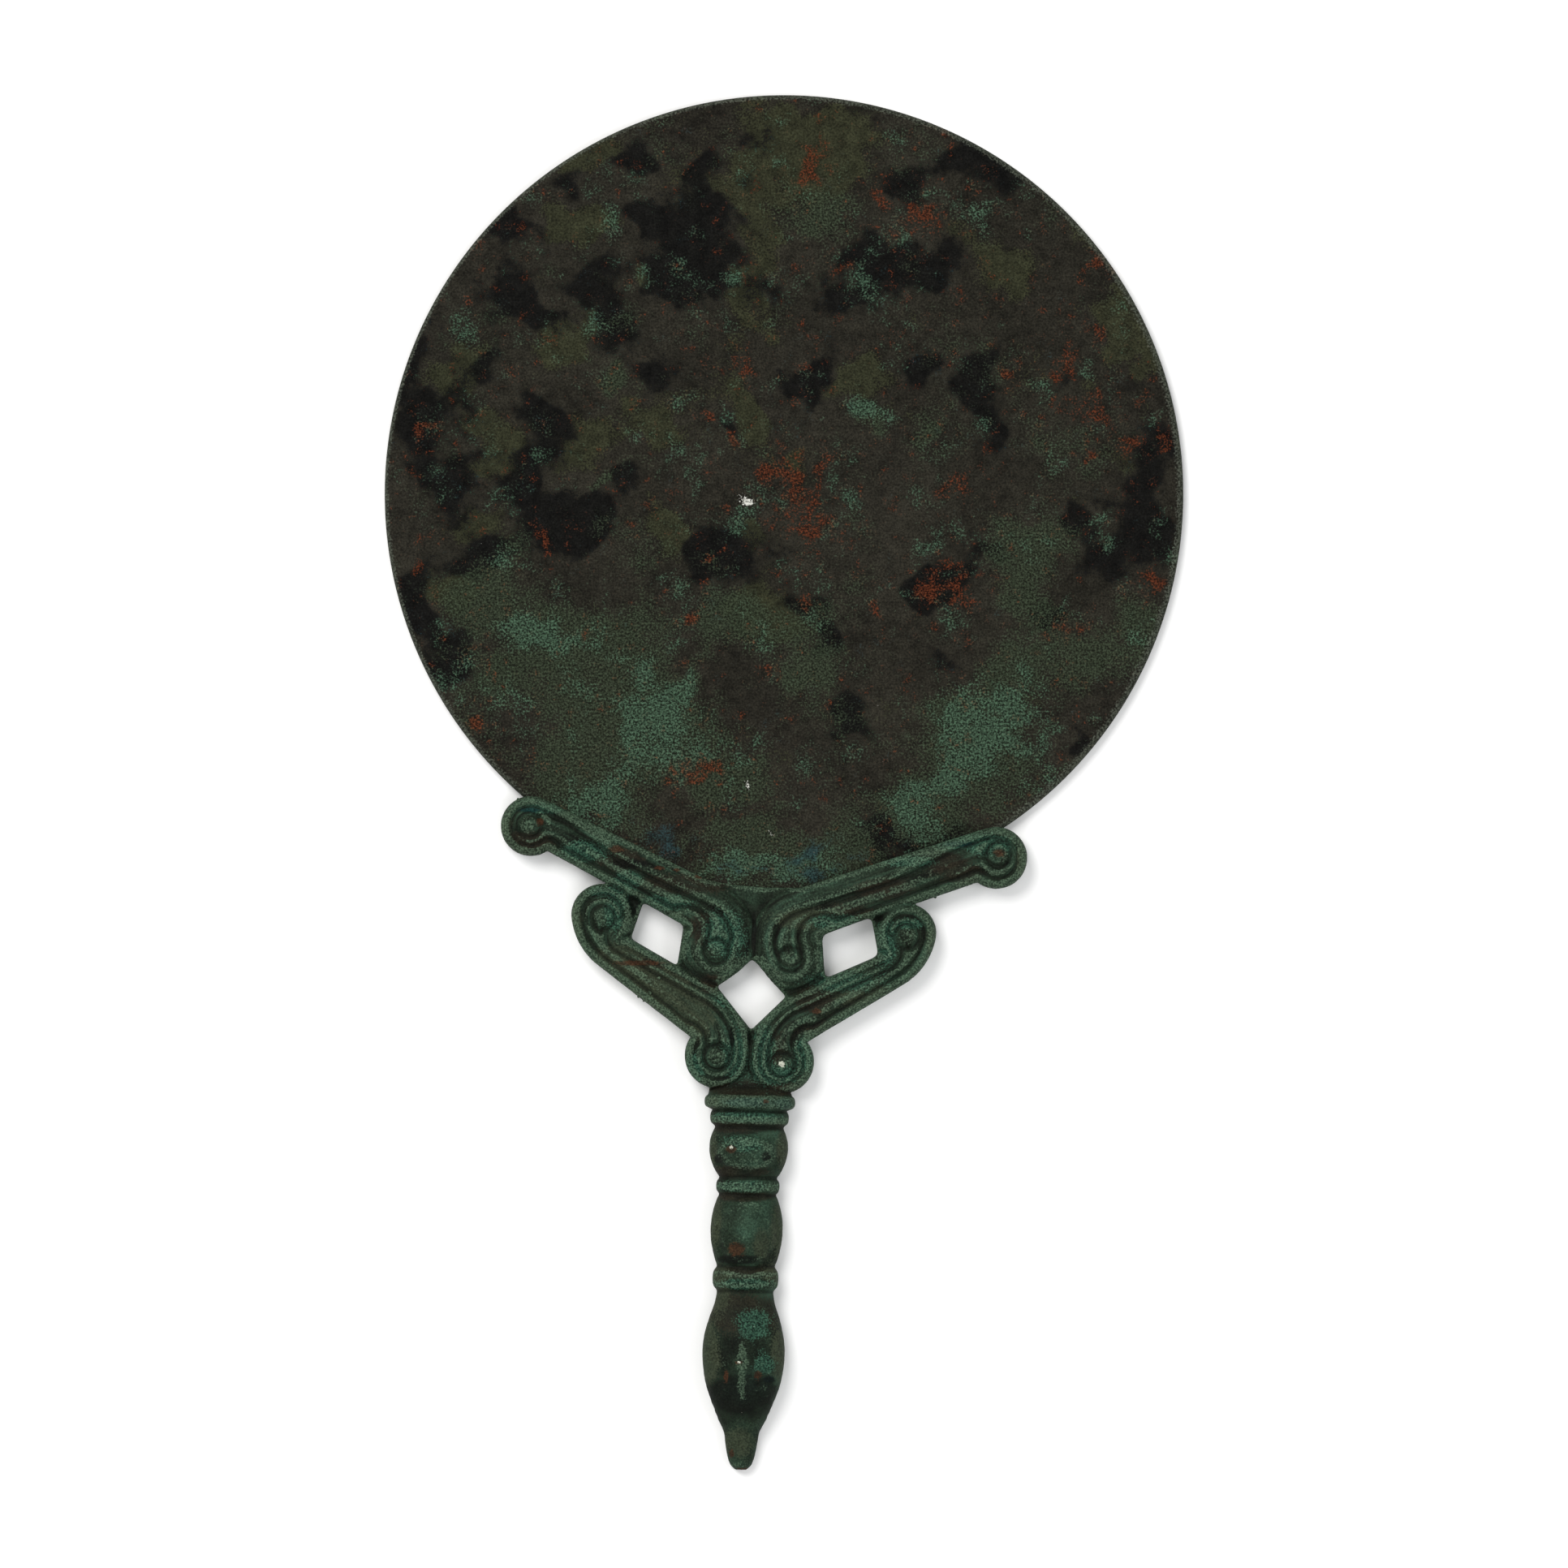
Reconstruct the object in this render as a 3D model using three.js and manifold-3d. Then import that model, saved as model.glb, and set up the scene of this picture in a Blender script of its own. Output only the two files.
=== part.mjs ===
// A bronze hand mirror of the Etruscan kind: a round disc soldered into a cast handle.
// Millimetres, +Z up. The mirror lies on its back; the origin is the centre of the disc's back.
// +Y points away from the handle, so the handle runs down to -Y.
import * as THREE from "three";
import Module from "manifold-3d";
import { mergeVertices } from "three/addons/utils/BufferGeometryUtils.js";

// ---- driving dimensions -------------------------------------------------------------

const discRadius = 80;
const discThickness = 2.6;
const discBevel = 0.7;
const discSides = 96;

const gap = 0.3; // solder gap between the disc and its seat
const plateTop = 4.1; // floor of the grooves between the ridges
const webTop = 3.5; // sunk webs between the scrolls
const ridgeTop = 5.5;
const ridgeHalfWidth = 0.95;
const ridgeInset = 1.02; // edge of a bar to the crest of its ridge
const bandTop = 5.7;
const bandMargin = 1.9; // edge of a bar to the edge of its broad middle band
const bandStep = 3.6;
const eyeRadius = 2.2;
const eyeTop = 5.6;
const ringGroove = 0.55; // width of the groove round each eye
const eyeSides = 12;
const arcStep = 0.38; // radians between points on an arc
const featherLength = 3; // run over which a ridge sinks away at its end

// Each scroll is a bar between two volutes, a (outer) and b (inner or lower). upper and lower are
// the heights of the bar's two edges above the centres of a and b, square to the edge. turn is
// the radius by which the edge swings into the volute, and eye the centre of the boss.
// side is 1 on the left and -1 on the right.
const scrolls = [
  {
    side: 1,
    a: { x: -50.7, y: -66.4, r: 6.0, turn: 14, eye: [-51.0, -66.2] },
    b: { x: -13.6, y: -90.7, r: 7.0, turn: 11, eye: [-13.6, -91.6] },
    upper: [6.0, 11.3],
    lower: [-2.8, 0.7],
  },
  {
    side: -1,
    a: { x: 42.5, y: -72.8, r: 6.2, turn: 14, eye: [43.0, -72.1] },
    b: { x: 1.1, y: -91.7, r: 7.1, turn: 11, eye: [1.3, -93.2] },
    upper: [6.3, 11.6],
    lower: [-3.4, 0.9],
  },
  {
    side: 1,
    a: { x: -36.4, y: -84.2, r: 6.2, turn: 14, eye: [-36.3, -84.8] },
    b: { x: -13.4, y: -112.4, r: 6.5, turn: 14, eye: [-13.4, -112.4] },
    upper: [-1.4, 11.9],
    lower: [-8.5, -0.3],
  },
  {
    side: -1,
    a: { x: 24.6, y: -87.9, r: 5.9, turn: 14, eye: [24.6, -88.5] },
    b: { x: -0.4, y: -113.6, r: 6.4, turn: 14, eye: [-0.4, -114.3] },
    upper: [-1.4, 11.2],
    lower: [-8.5, 0.8],
  },
];

// The three windows between the scrolls; the middle one is eaten away on its right.
const windows = [
  { corner: 0.9, points: [[-28.2, -81.7], [-20.1, -86.3], [-21.4, -94.4], [-30.7, -89.0]] },
  { corner: 1.3, points: [[7.6, -88.3], [17.5, -84.7], [18.9, -92.4], [8.2, -97.0]] },
  {
    corner: 0.6,
    points: [
      [-6.4, -93.1], [-5.0, -94.4], [-3.3, -96.5], [-2.2, -97.8],
      [0.4, -100.6], [-6.6, -107.3], [-13.4, -98.6], [-9.0, -95.5],
    ],
  },
];

// Flat web behind the scrolls, its corners hidden under them.
const webOutline = [
  [-36.4, -84.2], [-30, -79.5], [-9, -79.6], [-1.6, -79.6], [20, -80.5], [24.6, -87.9],
  [-0.4, -113.6], [1.2, -121], [-15.4, -121], [-13.4, -112.4],
];

// Thin lip over the disc's lower rim, between the two upper scrolls.
const lip = { inner: 78.8, outer: 82, top: 3.7, from: 257, to: 277 };

// Small raised triangle between the two lowest volutes.
const spurSides = 3;
const spur = { x: -7.2, y: -117.0, r: 1.9, top: 4.9 };

// The shaft runs down its own axis from root, leaning by lean. Each station is the distance from
// the root and the half width there; depth grows with width.
const shaft = {
  root: [-6.8, -120.3],
  lean: THREE.MathUtils.degToRad(-1.44),
  depthPerWidth: 0.9,
  depthBase: 1.2,
  frontSides: 11,
  backSides: 5,
};
const rings = [
  { from: 0, to: 2.7, half: 9.1 },
  { from: 3.0, to: 6.0, half: 7.9 },
  { from: 16.7, to: 19.7, half: 6.35 },
  { from: 34.6, to: 38.9, half: 6.6 },
];
const barrelSteps = 6;
const barrels = [
  { from: 6.4, to: 16.1, half: 7.9, top: 6.7, foot: 6.0, peak: 0.42 },
  { from: 20.1, to: 34.0, half: 7.25, top: 5.7, foot: 5.8, peak: 0.48 },
];
const head = [
  [39.2, 5.6], [41.5, 6.0], [44.5, 7.0], [48.0, 7.9], [51.4, 8.25], [55.0, 8.0], [58.5, 7.3],
  [61.5, 6.2], [64.0, 5.2], [66.2, 4.2], [67.4, 3.6], [69.5, 3.25], [71.4, 2.95], [73.2, 2.5],
  [74.4, 1.9], [75.1, 1.1],
];
const bosses = [
  { along: 11.5, across: -0.3, half: [6.2, 3.75], host: 8.3, rise: 0.9, moat: 0.7 },
  { along: 27.6, across: 0.15, half: [5.6, 7.0], host: 7.8, rise: 1.0, moat: 0.7 },
];
const nose = { along: 55.2, across: -0.3, half: [2.6, 6.0], host: 8.2, rise: 0.8 };

// ---- solids from triangles ------------------------------------------------------------

const wasm = await Module();
wasm.setup();

function solid(geometry) {
  const plain = geometry.clone();
  plain.deleteAttribute("normal");
  plain.deleteAttribute("uv");
  const merged = mergeVertices(plain, 1e-5);
  return new wasm.Manifold(new wasm.Mesh({
    numProp: 3,
    vertProperties: new Float32Array(merged.attributes.position.array),
    triVerts: new Uint32Array(merged.index.array),
  }));
}

function geometryOf(manifold) {
  const mesh = manifold.getMesh();
  const geometry = new THREE.BufferGeometry();
  geometry.setAttribute("position", new THREE.BufferAttribute(mesh.vertProperties, 3));
  geometry.setIndex(new THREE.BufferAttribute(mesh.triVerts, 1));
  return geometry;
}

// Closed solid through a row of rings of 3-D points, each ring with the same number of points.
function loft(sections) {
  const count = sections[0].length;
  const last = sections.length - 1;
  const positions = sections.flat(2);
  const index = [];
  for (let row = 0; row < last; row++) {
    for (let column = 0; column < count; column++) {
      const here = row * count + column;
      const next = row * count + ((column + 1) % count);
      index.push(here, next, here + count);
      index.push(next, next + count, here + count);
    }
  }
  for (let column = 1; column < count - 1; column++) {
    index.push(0, column + 1, column);
    index.push(last * count, last * count + column, last * count + column + 1);
  }
  const geometry = new THREE.BufferGeometry();
  geometry.setAttribute("position", new THREE.Float32BufferAttribute(positions, 3));
  geometry.setIndex(index);
  return geometry;
}

// Upright prism over an outline of [x, y] points.
function prism(points, bottom, top) {
  const outline = new THREE.Shape(points.map(([x, y]) => new THREE.Vector2(x, y)));
  const geometry = new THREE.ExtrudeGeometry(outline, { depth: top - bottom, bevelEnabled: false });
  return geometry.translate(0, 0, bottom);
}

// Round solid about an upright axis, from a profile of [radius, height] points.
function turned(profile, sides, x, y) {
  const points = profile.map(([radius, height]) => new THREE.Vector2(radius, height));
  return new THREE.LatheGeometry(points, sides).rotateX(Math.PI / 2).translate(x, y, 0);
}

// ---- plane curves ---------------------------------------------------------------------

const add = (p, q, scale = 1) => [p[0] + q[0] * scale, p[1] + q[1] * scale];
const leftOf = ([x, y]) => [-y, x];
const angleOf = ([x, y]) => Math.atan2(y, x);

function arc(centre, radius, from, turn) {
  const steps = Math.max(2, Math.ceil(Math.abs(turn) / arcStep));
  const points = [];
  for (let step = 0; step <= steps; step++) {
    const angle = from + (turn * step) / steps;
    points.push(add(centre, [Math.cos(angle), Math.sin(angle)], radius));
  }
  return points;
}

// Turn from one angle to another, going round in the given sense.
function turnBetween(from, to, sense) {
  const full = 2 * Math.PI;
  return ((((to - from) * sense) % full + full) % full) * sense;
}

// Adds points so that no step of a path is longer than the given length.
function densify(path, longest) {
  return path.flatMap((point, i) => {
    if (i === 0) return [point];
    const step = add(point, path[i - 1], -1);
    const parts = Math.ceil(Math.hypot(...step) / longest);
    return Array.from({ length: parts }, (_, k) => add(path[i - 1], step, (k + 1) / parts));
  });
}

// Direction of travel and the normal to its left, at each point of a path.
function directions(path) {
  return path.map((_, i) => {
    const before = path[Math.max(0, i - 1)];
    const after = path[Math.min(path.length - 1, i + 1)];
    const step = add(after, before, -1);
    const ahead = step.map((value) => value / Math.hypot(...step));
    return { ahead, left: leftOf(ahead) };
  });
}

// ---- the scrolls' lines ---------------------------------------------------------------

const otherEdge = { upper: "lower", lower: "upper" };
const outwardOf = { upper: 1, lower: -1 };
const centreOf = ({ x, y }) => [x, y];
const wrappingEdge = ({ upper, lower }, end) =>
  (Math.abs(upper[end]) > Math.abs(lower[end]) ? "upper" : "lower");

// One long edge of a bar: its heading from a to b and the normal that points up, out of the bar.
function edgeLine({ a, b, side, ...edges }, edge) {
  const heights = edges[edge];
  const run = add(centreOf(b), centreOf(a), -1);
  const angle = angleOf(run) - side * Math.asin((heights[0] - heights[1]) / Math.hypot(...run));
  const heading = [Math.cos(angle), Math.sin(angle)];
  return { heading, up: leftOf(heading).map((value) => value * side) };
}

// An edge seen by someone who walks along it towards the volute at one end.
function approach(scroll, edge, end) {
  const line = edgeLine(scroll, edge);
  const volute = end === 0 ? scroll.a : scroll.b;
  return {
    volute,
    centre: centreOf(volute),
    heading: line.heading.map((value) => (end === 0 ? -value : value)),
    inward: line.up.map((value) => -value * outwardOf[edge]),
    height: scroll[edge][end] * outwardOf[edge],
    depth: -scroll[otherEdge[edge]][end] * outwardOf[edge],
    sense: (end === 0 ? 1 : -1) * scroll.side * outwardOf[edge],
  };
}

// The edge's curl round a volute, moved in by inset: a wide swing off the bar, then the round rim
// as far as the notch where it meets the bar's other edge.
function curl(scroll, end, inset) {
  const walk = approach(scroll, wrappingEdge(scroll, end), end);
  const { centre, heading, inward, volute, sense } = walk;
  const height = walk.height - inset;
  const radius = volute.r - inset;
  const turn = volute.turn - inset;
  const back = Math.sqrt(Math.max(0, (height - radius) * (2 * turn - radius - height)));
  const start = add(add(centre, inward, -height), heading, -back);
  const hub = add(start, inward, turn);
  const leave = angleOf(add(start, hub, -1));
  const meet = back > 0 ? angleOf(add(centre, hub, -1)) : leave;
  const notchBack = Math.sqrt(volute.r ** 2 - walk.depth ** 2);
  const notch = angleOf(add(inward.map((value) => value * walk.depth), heading, -notchBack));
  const swing = back > 0 ? arc(hub, turn, leave, turnBetween(leave, meet, sense)).slice(0, -1) : [];
  return [...swing, ...arc(centre, radius, meet, turnBetween(meet, notch, sense))];
}

// Path of an edge, moved into the bar by inset, from its end at a to its end at b.
function edgePath(scroll, edge, inset) {
  const [atA, atB] = [0, 1].map((end) => {
    if (wrappingEdge(scroll, end) === edge) return curl(scroll, end, inset);
    const { centre, heading, inward, height, volute } = approach(scroll, edge, end);
    const reach = Math.sqrt(volute.r ** 2 - height ** 2) - inset;
    return [add(add(centre, inward, inset - height), heading, -reach)];
  });
  return [...atA.reverse(), ...atB];
}

// How far a ray runs before it meets the groove round an eye; one that passes beside the eye
// either runs on or, once the bar's far edge is behind it, stops abreast of the groove.
function reachToEye(from, direction, eye, past) {
  const offset = add(eye, from, -1);
  const along = offset[0] * direction[0] + offset[1] * direction[1];
  const aside = offset[0] * direction[1] - offset[1] * direction[0];
  const radius = eyeRadius + ringGroove / 2;
  if (along > 0 && Math.abs(aside) < radius) return along - Math.sqrt(radius ** 2 - aside ** 2);
  return past ? Math.hypot(...offset) - radius : Infinity;
}

// One half of a bar's broad band, from the middle of the bar to the end of its curl, as pairs of
// points on its two sides: it fills the room between the ridges, then narrows round the eye.
function bandHalf(scroll, end) {
  const edge = wrappingEdge(scroll, end);
  const walk = approach(scroll, edge, end);
  const far = approach(scroll, otherEdge[edge], end);
  const farPoint = add(walk.centre, far.inward, bandMargin - far.height);
  const wrap = curl(scroll, end, bandMargin);
  const halfway = add(add(centreOf(scroll.a), centreOf(scroll.b), 1).map((value) => value / 2), wrap[0], -1);
  const start = add(wrap[0], walk.heading, halfway[0] * walk.heading[0] + halfway[1] * walk.heading[1]);
  const rail = densify([start, ...wrap], bandStep);
  return directions(rail).map(({ left }, i) => {
    const inward = left.map((value) => value * walk.sense);
    const facing = -(far.inward[0] * inward[0] + far.inward[1] * inward[1]);
    const toFar = add(farPoint, rail[i], -1);
    const past = facing < 0.3;
    const across = past ? Infinity : -(toFar[0] * far.inward[0] + toFar[1] * far.inward[1]) / facing;
    const width = Math.min(across, reachToEye(rail[i], inward, walk.volute.eye, past));
    const sides = [rail[i], add(rail[i], inward, width)];
    return edge === "upper" ? sides : sides.reverse();
  });
}

// ---- the scrolls' relief --------------------------------------------------------------

// Closed solid over pairs of points on its two sides, with a rounded back; section lists how far
// across and how high it stands, and both ends sink into the plate.
function moulding(pairs, rise) {
  const foot = plateTop - 0.8;
  const middles = pairs.map(([one, two]) => add(one, two).map((value) => value / 2));
  const runs = [0];
  middles.slice(1).forEach((point, i) => runs.push(runs[i] + Math.hypot(...add(point, middles[i], -1))));
  const total = runs[runs.length - 1];
  const sections = pairs.map(([one, two], i) => {
    const near = Math.min(runs[i], total - runs[i]);
    const swell = 0.2 + 0.8 * THREE.MathUtils.smoothstep(near, 0, featherLength);
    const width = Math.hypot(...add(two, one, -1));
    const top = plateTop + swell * Math.min(rise, 0.3 + width / 2);
    const shoulder = plateTop + (top - plateTop) * 0.66;
    const section = [[0, foot], [0.16, shoulder], [0.5, top], [0.84, shoulder], [1, foot]];
    return section.map(([across, z]) => [...add(one, add(two, one, -1), across), z]);
  });
  return solid(loft(sections));
}

function ridge(scroll, edge) {
  const path = edgePath(scroll, edge, ridgeInset);
  const pairs = directions(path).map(({ left }, i) =>
    [add(path[i], left, ridgeHalfWidth), add(path[i], left, -ridgeHalfWidth)]);
  return moulding(pairs, ridgeTop - plateTop);
}

function band(scroll) {
  const pairs = [...bandHalf(scroll, 0).reverse(), ...bandHalf(scroll, 1).slice(1)];
  const ordered = scroll.side > 0 ? pairs : pairs.map(([one, two]) => [two, one]);
  return moulding(ordered, bandTop - plateTop);
}

// Outline with each corner rounded by a short arc-like curve.
function rounded(points, radius) {
  const outline = [];
  points.forEach((corner, i) => {
    const before = points[(i + points.length - 1) % points.length];
    const after = points[(i + 1) % points.length];
    const cut = (towards) => {
      const length = Math.hypot(towards[0] - corner[0], towards[1] - corner[1]);
      return add(corner, add(towards, corner, -1), Math.min(radius, length / 2.2) / length);
    };
    const curve = new THREE.QuadraticBezierCurve(
      new THREE.Vector2(...cut(before)), new THREE.Vector2(...corner), new THREE.Vector2(...cut(after)));
    outline.push(...curve.getPoints(3).map((point) => [point.x, point.y]));
  });
  return outline;
}

// ---- the two pieces -------------------------------------------------------------------

function makeDisc() {
  const rim = discRadius - discBevel;
  const profile = [
    [0, 0], [rim, 0], [discRadius, discBevel], [discRadius, discThickness - discBevel],
    [rim, discThickness], [0, discThickness],
  ];
  return solid(turned(profile, discSides, 0, 0));
}

function scrollPlate(scroll) {
  const outline = [...edgePath(scroll, "upper", 0), ...edgePath(scroll, "lower", 0).reverse()];
  return solid(prism(outline, 0, plateTop));
}

function scrollRelief(scroll) {
  return ridge(scroll, "upper").add(ridge(scroll, "lower")).add(band(scroll));
}

// The round boss in a volute, with the groove cut round it first.
function withEye(body, [x, y]) {
  const edge = eyeRadius + ringGroove;
  const floor = plateTop - 0.15;
  const moat = [[0, floor], [edge, floor], [edge, bandTop + 1], [0, bandTop + 1]];
  const dome = [[0, 1], [eyeRadius, 1], [eyeRadius, plateTop + 0.4], [eyeRadius * 0.6, eyeTop - 0.2],
    [0, eyeTop]];
  return body.subtract(solid(turned(moat, eyeSides, x, y))).add(solid(turned(dome, eyeSides, x, y)));
}

function lipPlate() {
  const from = THREE.MathUtils.degToRad(lip.from);
  const turn = THREE.MathUtils.degToRad(lip.to - lip.from);
  const inner = arc([0, 0], lip.inner, from, turn);
  const outer = arc([0, 0], lip.outer, from + turn, -turn);
  return solid(prism([...inner, ...outer], 0, lip.top));
}

function shaftDepth(half) {
  return shaft.depthPerWidth * half + shaft.depthBase;
}

// Cross section of the shaft: a round front and a flattened back that lies on Z = 0.
function shaftSection(along, half, depth) {
  const waist = depth * 0.36;
  const points = [];
  for (let i = 0; i < shaft.frontSides; i++) {
    const angle = (Math.PI * i) / shaft.frontSides;
    points.push([half * Math.cos(angle), -along, waist + (depth - waist) * Math.sin(angle)]);
  }
  for (let i = 0; i < shaft.backSides; i++) {
    const angle = (Math.PI * i) / shaft.backSides;
    const side = -Math.sign(Math.cos(angle)) * Math.abs(Math.cos(angle)) ** 0.75;
    const sunk = Math.min(1, Math.sin(angle) * 1.55);
    points.push([half * side, -along, waist * (1 - sunk)]);
  }
  return points;
}

function shaftStations() {
  const stations = [[-4.5, 6.6, 4.3], [-1.6, 7.9, 5.4], [-0.3, 8.3, 7.6]];
  const put = (along, half) => stations.push([along, half, shaftDepth(half)]);
  rings.forEach(({ from, to, half }) => {
    const lap = (to - from) * 0.22;
    put(from, half - 0.75);
    put(from + lap, half - 0.1);
    put(to - lap, half);
    put(to, half - 0.75);
  });
  barrels.forEach(({ from, to, half, top, foot, peak }) => {
    for (let step = 0; step <= barrelSteps; step++) {
      const t = step / barrelSteps;
      const end = t < peak ? top : foot;
      const quarter = t < peak ? t / peak : (1 - t) / (1 - peak);
      put(from + (to - from) * t, end + (half - end) * Math.sin((quarter * Math.PI) / 2) ** 0.8);
    }
  });
  head.forEach(([along, half]) => put(along, half));
  return stations.sort((one, two) => one[0] - two[0]);
}

function oval({ along, across, half, rise, host }, swell) {
  const sphere = new THREE.SphereGeometry(1, 16, 8);
  sphere.scale(half[0] + swell, half[1] + swell, 3 + rise);
  return sphere.translate(across, -along, host - 3);
}

function makeShaft() {
  const sections = shaftStations().map(([along, half, depth]) => shaftSection(along, half, depth));
  let body = solid(loft(sections));
  bosses.forEach((boss) => {
    body = body.subtract(solid(oval({ ...boss, rise: boss.moat }, boss.moat)));
    body = body.add(solid(oval(boss, 0)));
  });
  body = body.add(solid(oval(nose, 0)));
  return solid(geometryOf(body).rotateZ(shaft.lean).translate(...shaft.root, 0));
}

function makeHandle() {
  let body = solid(prism(webOutline, 0, webTop));
  scrolls.forEach((scroll) => {
    body = body.add(scrollPlate(scroll));
  });
  body = body.add(lipPlate());
  scrolls.forEach((scroll) => {
    body = body.add(scrollRelief(scroll));
  });
  scrolls.forEach((scroll) => {
    body = withEye(withEye(body, scroll.a.eye), scroll.b.eye);
  });
  windows.forEach(({ corner, points }) => {
    body = body.subtract(solid(prism(rounded(points, corner), -1, 10)));
  });
  const seat = [[0, -1], [discRadius + gap, -1], [discRadius + gap, discThickness + gap],
    [0, discThickness + gap]];
  body = body.subtract(solid(turned(seat, discSides, 0, 0)));
  const pin = [[0, 1], [spur.r, 1], [spur.r * 0.9, plateTop - 0.4], [0, spur.top]];
  return body.add(solid(turned(pin, spurSides, spur.x, spur.y))).add(makeShaft());
}

function piece(name, manifold, color, roughness) {
  const material = new THREE.MeshStandardMaterial({ color, roughness, metalness: 0.35 });
  const mesh = new THREE.Mesh(geometryOf(manifold), material);
  mesh.name = name;
  return mesh;
}

const mirror = new THREE.Group();
mirror.add(piece("disc", makeDisc(), 0x2e3029, 0.62));
mirror.add(piece("handle", makeHandle(), 0x2f4a3c, 0.66));

export default mirror;
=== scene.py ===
# A bronze hand mirror of the Etruscan kind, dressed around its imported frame.
# Metres, +Z up. The mirror lies on its back and the disc's centre is over the origin.
import math
import bpy
import numpy as np
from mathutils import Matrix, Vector


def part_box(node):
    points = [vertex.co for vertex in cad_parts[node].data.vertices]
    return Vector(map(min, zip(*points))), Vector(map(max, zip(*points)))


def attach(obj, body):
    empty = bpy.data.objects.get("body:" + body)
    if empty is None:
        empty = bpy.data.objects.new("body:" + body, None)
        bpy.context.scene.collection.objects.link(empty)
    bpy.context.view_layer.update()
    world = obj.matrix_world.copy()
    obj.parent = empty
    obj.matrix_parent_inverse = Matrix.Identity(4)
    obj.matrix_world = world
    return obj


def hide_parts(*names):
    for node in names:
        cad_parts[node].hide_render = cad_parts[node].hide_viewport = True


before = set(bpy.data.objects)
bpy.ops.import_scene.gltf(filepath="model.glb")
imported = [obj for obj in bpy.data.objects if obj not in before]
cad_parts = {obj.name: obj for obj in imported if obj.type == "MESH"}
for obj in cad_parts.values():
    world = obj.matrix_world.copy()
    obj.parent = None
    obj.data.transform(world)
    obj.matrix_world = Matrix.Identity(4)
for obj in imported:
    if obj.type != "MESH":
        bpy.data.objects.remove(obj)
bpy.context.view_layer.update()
mm = 0.001
_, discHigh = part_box("disc")
handleLow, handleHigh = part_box("handle")
print("frame loaded: disc", round(discHigh[0] / mm, 1), "mm in radius")


# ---- camera, floor and light ----
studio = {
    "viewCentre": (0.0, -0.0580),      # under the middle of the view
    "viewWidth": 0.3143,               # width of the view on the object
    "cameraHeight": 2.4,
    "sensor": 36.0,
    "farthest": 20.0,
    "floorSize": 3.0,
    "floorColor": (0.93, 0.93, 0.93, 1.0),
    "floorRoughness": 0.9,
    "floorSpecular": 0.1,
    "skyColor": (1.0, 1.0, 1.0, 1.0),
    "skyStrength": 0.55,
    # name, place, aim, size, watts, color
    "lamps": [
        ("keyLamp", (-0.75, 0.85, 1.25), (0.0, -0.05, 0.0), 1.2, 25.0, (1.0, 0.99, 0.97)),
        ("fillLamp", (1.25, -0.30, 1.10), (0.0, -0.05, 0.0), 0.90, 8.0, (0.97, 0.99, 1.0)),
        ("tailLamp", (-0.30, -1.30, 1.00), (0.0, -0.05, 0.0), 0.90, 5.0, (1.0, 1.0, 1.0)),
    ],
}


def makeStudio():
    scene = bpy.context.scene
    scene.view_settings.view_transform = "Standard"
    x, y = studio["viewCentre"]
    camera = bpy.data.objects.new("camera", bpy.data.cameras.new("camera"))
    scene.collection.objects.link(camera)
    camera.location = (x, y, studio["cameraHeight"])
    camera.data.sensor_width = studio["sensor"]
    camera.data.lens = studio["sensor"] * studio["cameraHeight"] / studio["viewWidth"]
    camera.data.clip_end = studio["farthest"]
    scene.camera = camera
    for name, place, aim, size, watts, color in studio["lamps"]:
        light = bpy.data.lights.new(name, "AREA")
        light.shape = "DISK"
        light.size = size
        light.energy = watts
        light.color = color
        lamp = bpy.data.objects.new(name, light)
        scene.collection.objects.link(lamp)
        lamp.location = place
        lamp.rotation_euler = (Vector(aim) - Vector(place)).to_track_quat("-Z", "Y").to_euler()
    world = bpy.data.worlds.new("studioSky")
    world.use_nodes = True
    sky = world.node_tree.nodes["Background"]
    sky.inputs["Color"].default_value = studio["skyColor"]
    sky.inputs["Strength"].default_value = studio["skyStrength"]
    scene.world = world
    mesh = bpy.data.meshes.new("floor")
    s = studio["floorSize"]
    mesh.from_pydata([(-s, -s, 0), (s, -s, 0), (s, s, 0), (-s, s, 0)], [], [(0, 1, 2, 3)])
    floor = bpy.data.objects.new("floor", mesh)
    scene.collection.objects.link(floor)
    paper = bpy.data.materials.new("whitePaper")
    paper.use_nodes = True
    shader = paper.node_tree.nodes["Principled BSDF"]
    shader.inputs["Base Color"].default_value = studio["floorColor"]
    shader.inputs["Roughness"].default_value = studio["floorRoughness"]
    shader.inputs["Specular IOR Level"].default_value = studio["floorSpecular"]
    mesh.materials.append(paper)
    print("studio ready")


makeStudio()


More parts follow.
